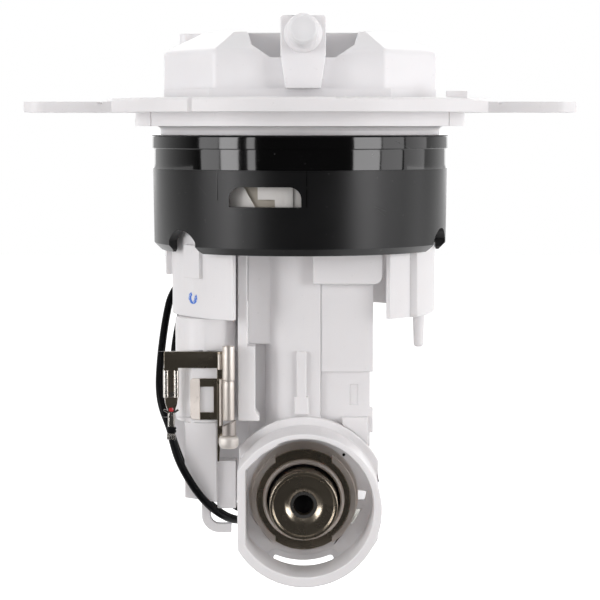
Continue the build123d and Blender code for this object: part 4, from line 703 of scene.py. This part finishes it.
def open_band(made):
    """A strip round the sensor's foot, higher at the right, with a slit at the left."""
    inner, outer, low, middle_top, slope = 2.05, 2.5, -106.7, -102.75, 1.1
    sections = []
    for turn in arc((0, 0), 1, -150, 150, 40):
        top = middle_top + slope * turn.x
        sections.append([
            (can[0] + r * turn.x, can[1] + r * turn.y, z)
            for r, z in ((outer, low), (outer, top), (inner, top), (inner, low))
        ])
    strip(made, sections)


built("sensor_clip_band", [open_band], "nickel", ("sensor_band",), 0.1,
      finish=plated("dull_nickel", (0.52, 0.48, 0.45, 1), 0.5))

# bracket: a leaning left limb, flat bars round the window, the sensor's spine and the curled edges. It is
# one pressed sheet in three tones of nickel: the flat bars and the spine dark as painted reflection of the
# dark room, the curls in plain nickel, and the limb a little darker than them as painted shade.
def limb_plate(made):
    """The bracket's left limb, a round-cornered plate whose left edge leans back."""
    left, right, low, high, lean = -36.5, -33.2, -101.9, -88.1, 0.38
    prism(made, eased([(right, low), (left, low), (left, high), (right, high)], 1.3), "Y", -32.3, -31.7)
    for corner in made.verts:
        corner.co.y += (right * mm - corner.co.x) * lean


# the limb's nickel, darker than the curls': painted shade
built("bracket_limb", [limb_plate], "nickel", ("sensor_bracket",), 0.15,
      finish=plated("limb_nickel", (0.68, 0.63, 0.585, 1), 0.5))
# the bars in dark nickel: painted dark reflection
built("bracket_bars", [lambda m: frame_prism(
    m, eased(rectangle(-33.9, -26.6, -101.9, -88.1), 0.1, True),
    eased(rectangle(-33.4, -28.7, -99.4, -90.8), 0.1, True), "Y", -31.7, -31.15)],
    "dark_nickel", ("sensor_bracket",), 0.08)
# the spine in dark nickel: painted dark reflection
built("bracket_spine", [
    lambda m: prism(m, rectangle(-27.5, -25.6, -107.3, -79.9), "Y", -31.9, -31.3),
    lambda m: prism(m, [(-27.5, -107.2), (-26.7, -107.2), (-26.6, -112), (-26.9, -115.9), (-27.5, -115.9)],
                    "Y", -31.9, -31.4),
], "dark_nickel", ("sensor_bracket",), 0.08)
built("bracket_curls", [
    lambda m: prism(m, sheet(arc((-26.55, -32.2), 0.65, 150, 420, 16), 0.22), "Z", -85.0, -79.9),
    lambda m: prism(m, sheet(arc((-26.2, -32.3), 0.5, 150, 420, 14), 0.2), "Z", -103.8, -88.2),
], "nickel", ("sensor_bracket",), 0.05)


def inspection_ring(made):
    """A small open ring of paint on the case's left panel."""
    centre, reach, half = (-35.7, -61.7), (1.05, 1.5), 0.5
    wall, film = 44.46, 0.05
    strip(made, [[
        on_wall(centre[0] + turn.x * (reach[0] + grow), centre[1] - turn.y * (reach[1] + grow), wall + lift)
        for grow, lift in ((-half, 0.0), (half, 0.0), (half, film), (-half, film))
    ] for turn in arc((0, 0), 1, -40, 250, 28)])


def paint(name, tint):
    """A thin dab of paint that has not covered everywhere."""
    finish = Finish(name, {"IOR": 1.45})
    patch = finish.noise(900, 3).between(0.36, 0.48)
    colour = finish.mix(patch, (0.62, 0.66, 0.78, 1), tint)
    return finish.surface(colour, 0.45 + patch * 0.1, patch, 0.00003)


built("inspection_ring", [inspection_ring], "white_pom", finish=paint("blue_paint", ink))

# ------------------------------------------------------------------ earth terminal
built("terminal_shell", [
    lambda m: prism(m, sheet(
        arc((-44.5, -31.45), 0.78, -10, -270, 14) + arc((-41.1, -31.45), 0.78, 90, -190, 14), 0.3,
    ), "Z", -94.4, -85.4),
    lambda m: prism(m, eased([
        (-43.65, -99.9), (-45.35, -98.8), (-45.15, -98.2), (-43.4, -99.1), (-42.1, -99.1), (-40.4, -98.2),
        (-40.2, -98.8), (-41.85, -99.9),
    ], 0.2, True), "Y", -31.9, -31.3),
    lambda m: prism(m, arc((-43.25, -31.5), 0.66, 90, 300, 12) + arc((-42.25, -31.5), 0.66, 240, 450, 12),
                    "Z", -104.3, -99.6),
], "tin", ("terminal_receptacle",), 0.06)
# the neck, part of the same tinned stamping as the shell, in dark nickel: painted shade on its flat face
built("terminal_neck", [lambda m: prism(
    m, eased([
        (-44.9, -94.4), (-44.7, -96.6), (-43.7, -99.4), (-41.8, -99.4), (-40.8, -96.6), (-40.6, -94.4),
    ], 0.5, True), "Y", -31.5, -30.7)], "dark_nickel", ("terminal_receptacle",), 0.15)
# a small red dot on the terminal's neck
built("terminal_red_dot", [
    lambda m: prism(m, eased(rectangle(-43.6, -42.0, -99.2, -97.9), 0.6, True), "Y", -31.95, -31.4),
], "tin", (), 0.1, finish=paint("terminal_red_dot_finish", (0.42, 0.015, 0.02, 1)))
finished("wire_seal_ribbed", turned("wire_seal_ribbed", eased([
    (0.7, -104.2), (1.25, -104.2), (1.6, -104.6), (1.6, -105.0), (1.35, -105.25), (1.6, -105.5),
    (1.6, -106.0), (1.2, -106.4), (0.7, -106.4),
], 0.12, True), (-42.75, -31.5), "Z", 48), "black_rubber", "module", ("wire_seal",))
crimp_rib, rib_count, rib_step = bmesh.new(), 5, 0.6
prism(crimp_rib, arc((-44.0, -32.65), 0.2, 0, 330, 11), "Z", -108.4, -106.4)
finished("crimp_ribs", row(
    "crimp_ribs", closed_mesh("crimp_rib", crimp_rib), rib_count, (rib_step, 0, 0), "tin",
), "tin", "module")


# ------------------------------------------------------------------ studio
def panel(name, place, aim, width, height, radiance, tint=(1, 1, 1)):
    """A soft box that faces a point of the object. Its power follows from its radiance."""
    lamp = bpy.data.lights.new(name, "AREA")
    lamp.shape = "RECTANGLE"
    lamp.size, lamp.size_y = width, height
    lamp.energy = radiance * pi * width * height
    lamp.color = tint
    box = bpy.data.objects.new(name, lamp)
    bpy.context.collection.objects.link(box)
    box.location = place
    box.rotation_euler = (Vector(aim) - Vector(place)).to_track_quat("-Z", "Y").to_euler()


lit_point = (0, -0.02, -0.06)
box_distance, box_level = 0.80, 0.02
# soft boxes: bearing from the front in degrees, width, height, radiance
for name, bearing, width, height, radiance in (
    ("left_key", -53.5, 0.21, 0.40, 7.0), ("left_fill", -70.5, 0.24, 0.40, 3.0),
    ("left_strip", -36, 0.085, 0.40, 4.6),
    ("right_key", 50.5, 0.31, 0.40, 6.1), ("right_fill", 72.5, 0.28, 0.40, 2.6),
    ("right_wing", 96, 0.34, 0.40, 1.4),
):
    turn = radians(bearing)
    place = (box_distance * sin(turn), -box_distance * cos(turn), box_level)
    panel(name, place, lit_point, width, height, radiance, (1, 0.99, 1.0))
panel("top_box", (0, -0.10, 0.85), lit_point, 1.0, 0.8, 0.85)
panel("back_box", (0, 0.80, 0.30), lit_point, 1.2, 0.8, 1.5)
rays = ("Is Camera Ray", "Is Glossy Ray", "Is Transmission Ray")


def stage_finish(name, colour, picture_strength):
    """A white surface: plain and lit for the object's light, even white to the camera."""
    made = Finish(name, {"Base Color": colour, "Roughness": 0.9})
    to_camera, in_gloss, through = made.outputs("ShaderNodeLightPath", rays)
    seen = to_camera + in_gloss + through
    glow = made.node("ShaderNodeEmission", {}, {"Color": (1, 1, 1, 1), "Strength": picture_strength})
    both = made.node("ShaderNodeAddShader", {}, {0: made.shader, 1: glow})
    choice = made.node("ShaderNodeMixShader", {}, {0: seen, 1: made.shader, 2: both})
    made.feed(made.end.inputs[0], choice)
    return made.material


def stage_sheet(name, corners, material):
    mesh = bpy.data.meshes.new(name)
    mesh.from_pydata(corners, [], [tuple(range(len(corners)))])
    mesh.materials.append(material)
    piece = bpy.data.objects.new(name, mesh)
    bpy.context.collection.objects.link(piece)


floor_level, floor_front, floor_back, floor_half = -0.30, -0.03, 4, 3
studio_white = stage_finish("studio_white", (0.7, 0.7, 0.7, 1), 0.9)
stage_sheet("floor", [
    (-floor_half, floor_front, floor_level), (floor_half, floor_front, floor_level),
    (floor_half, floor_back, floor_level), (-floor_half, floor_back, floor_level),
], studio_white)

world = bpy.data.worlds.new("studio_air")
bpy.context.scene.world = world
air = Wiring(world)
to_camera, in_gloss, through = air.outputs("ShaderNodeLightPath", rays)


def background(colour, strength):
    return air.node("ShaderNodeBackground", {}, {"Color": colour, "Strength": strength})


def pick(factor, first, second):
    return air.node("ShaderNodeMixShader", {}, {0: factor, 1: first, 2: second})


# gloss and metal show the white backdrop behind the object and the dark room in front of it
heading = air.node("ShaderNodeTexCoord", out="Generated")
depth = air.node("ShaderNodeSeparateXYZ", {}, {0: heading}, "Y")
behind = air.node("ShaderNodeMapRange", {}, {"Value": depth, "From Min": -0.1, "From Max": 0.75})
dark_room = background((1, 0.97, 0.93, 1), 0.042)
backdrop = background((1, 1, 1, 1), 1.0)
fill = background((1, 0.985, 0.985, 1), 0.44)
lit = pick(in_gloss, fill, pick(behind, dark_room, backdrop))
lit = pick(through, lit, backdrop)
air.node("ShaderNodeOutputWorld", {}, {0: pick(to_camera, lit, backdrop)})
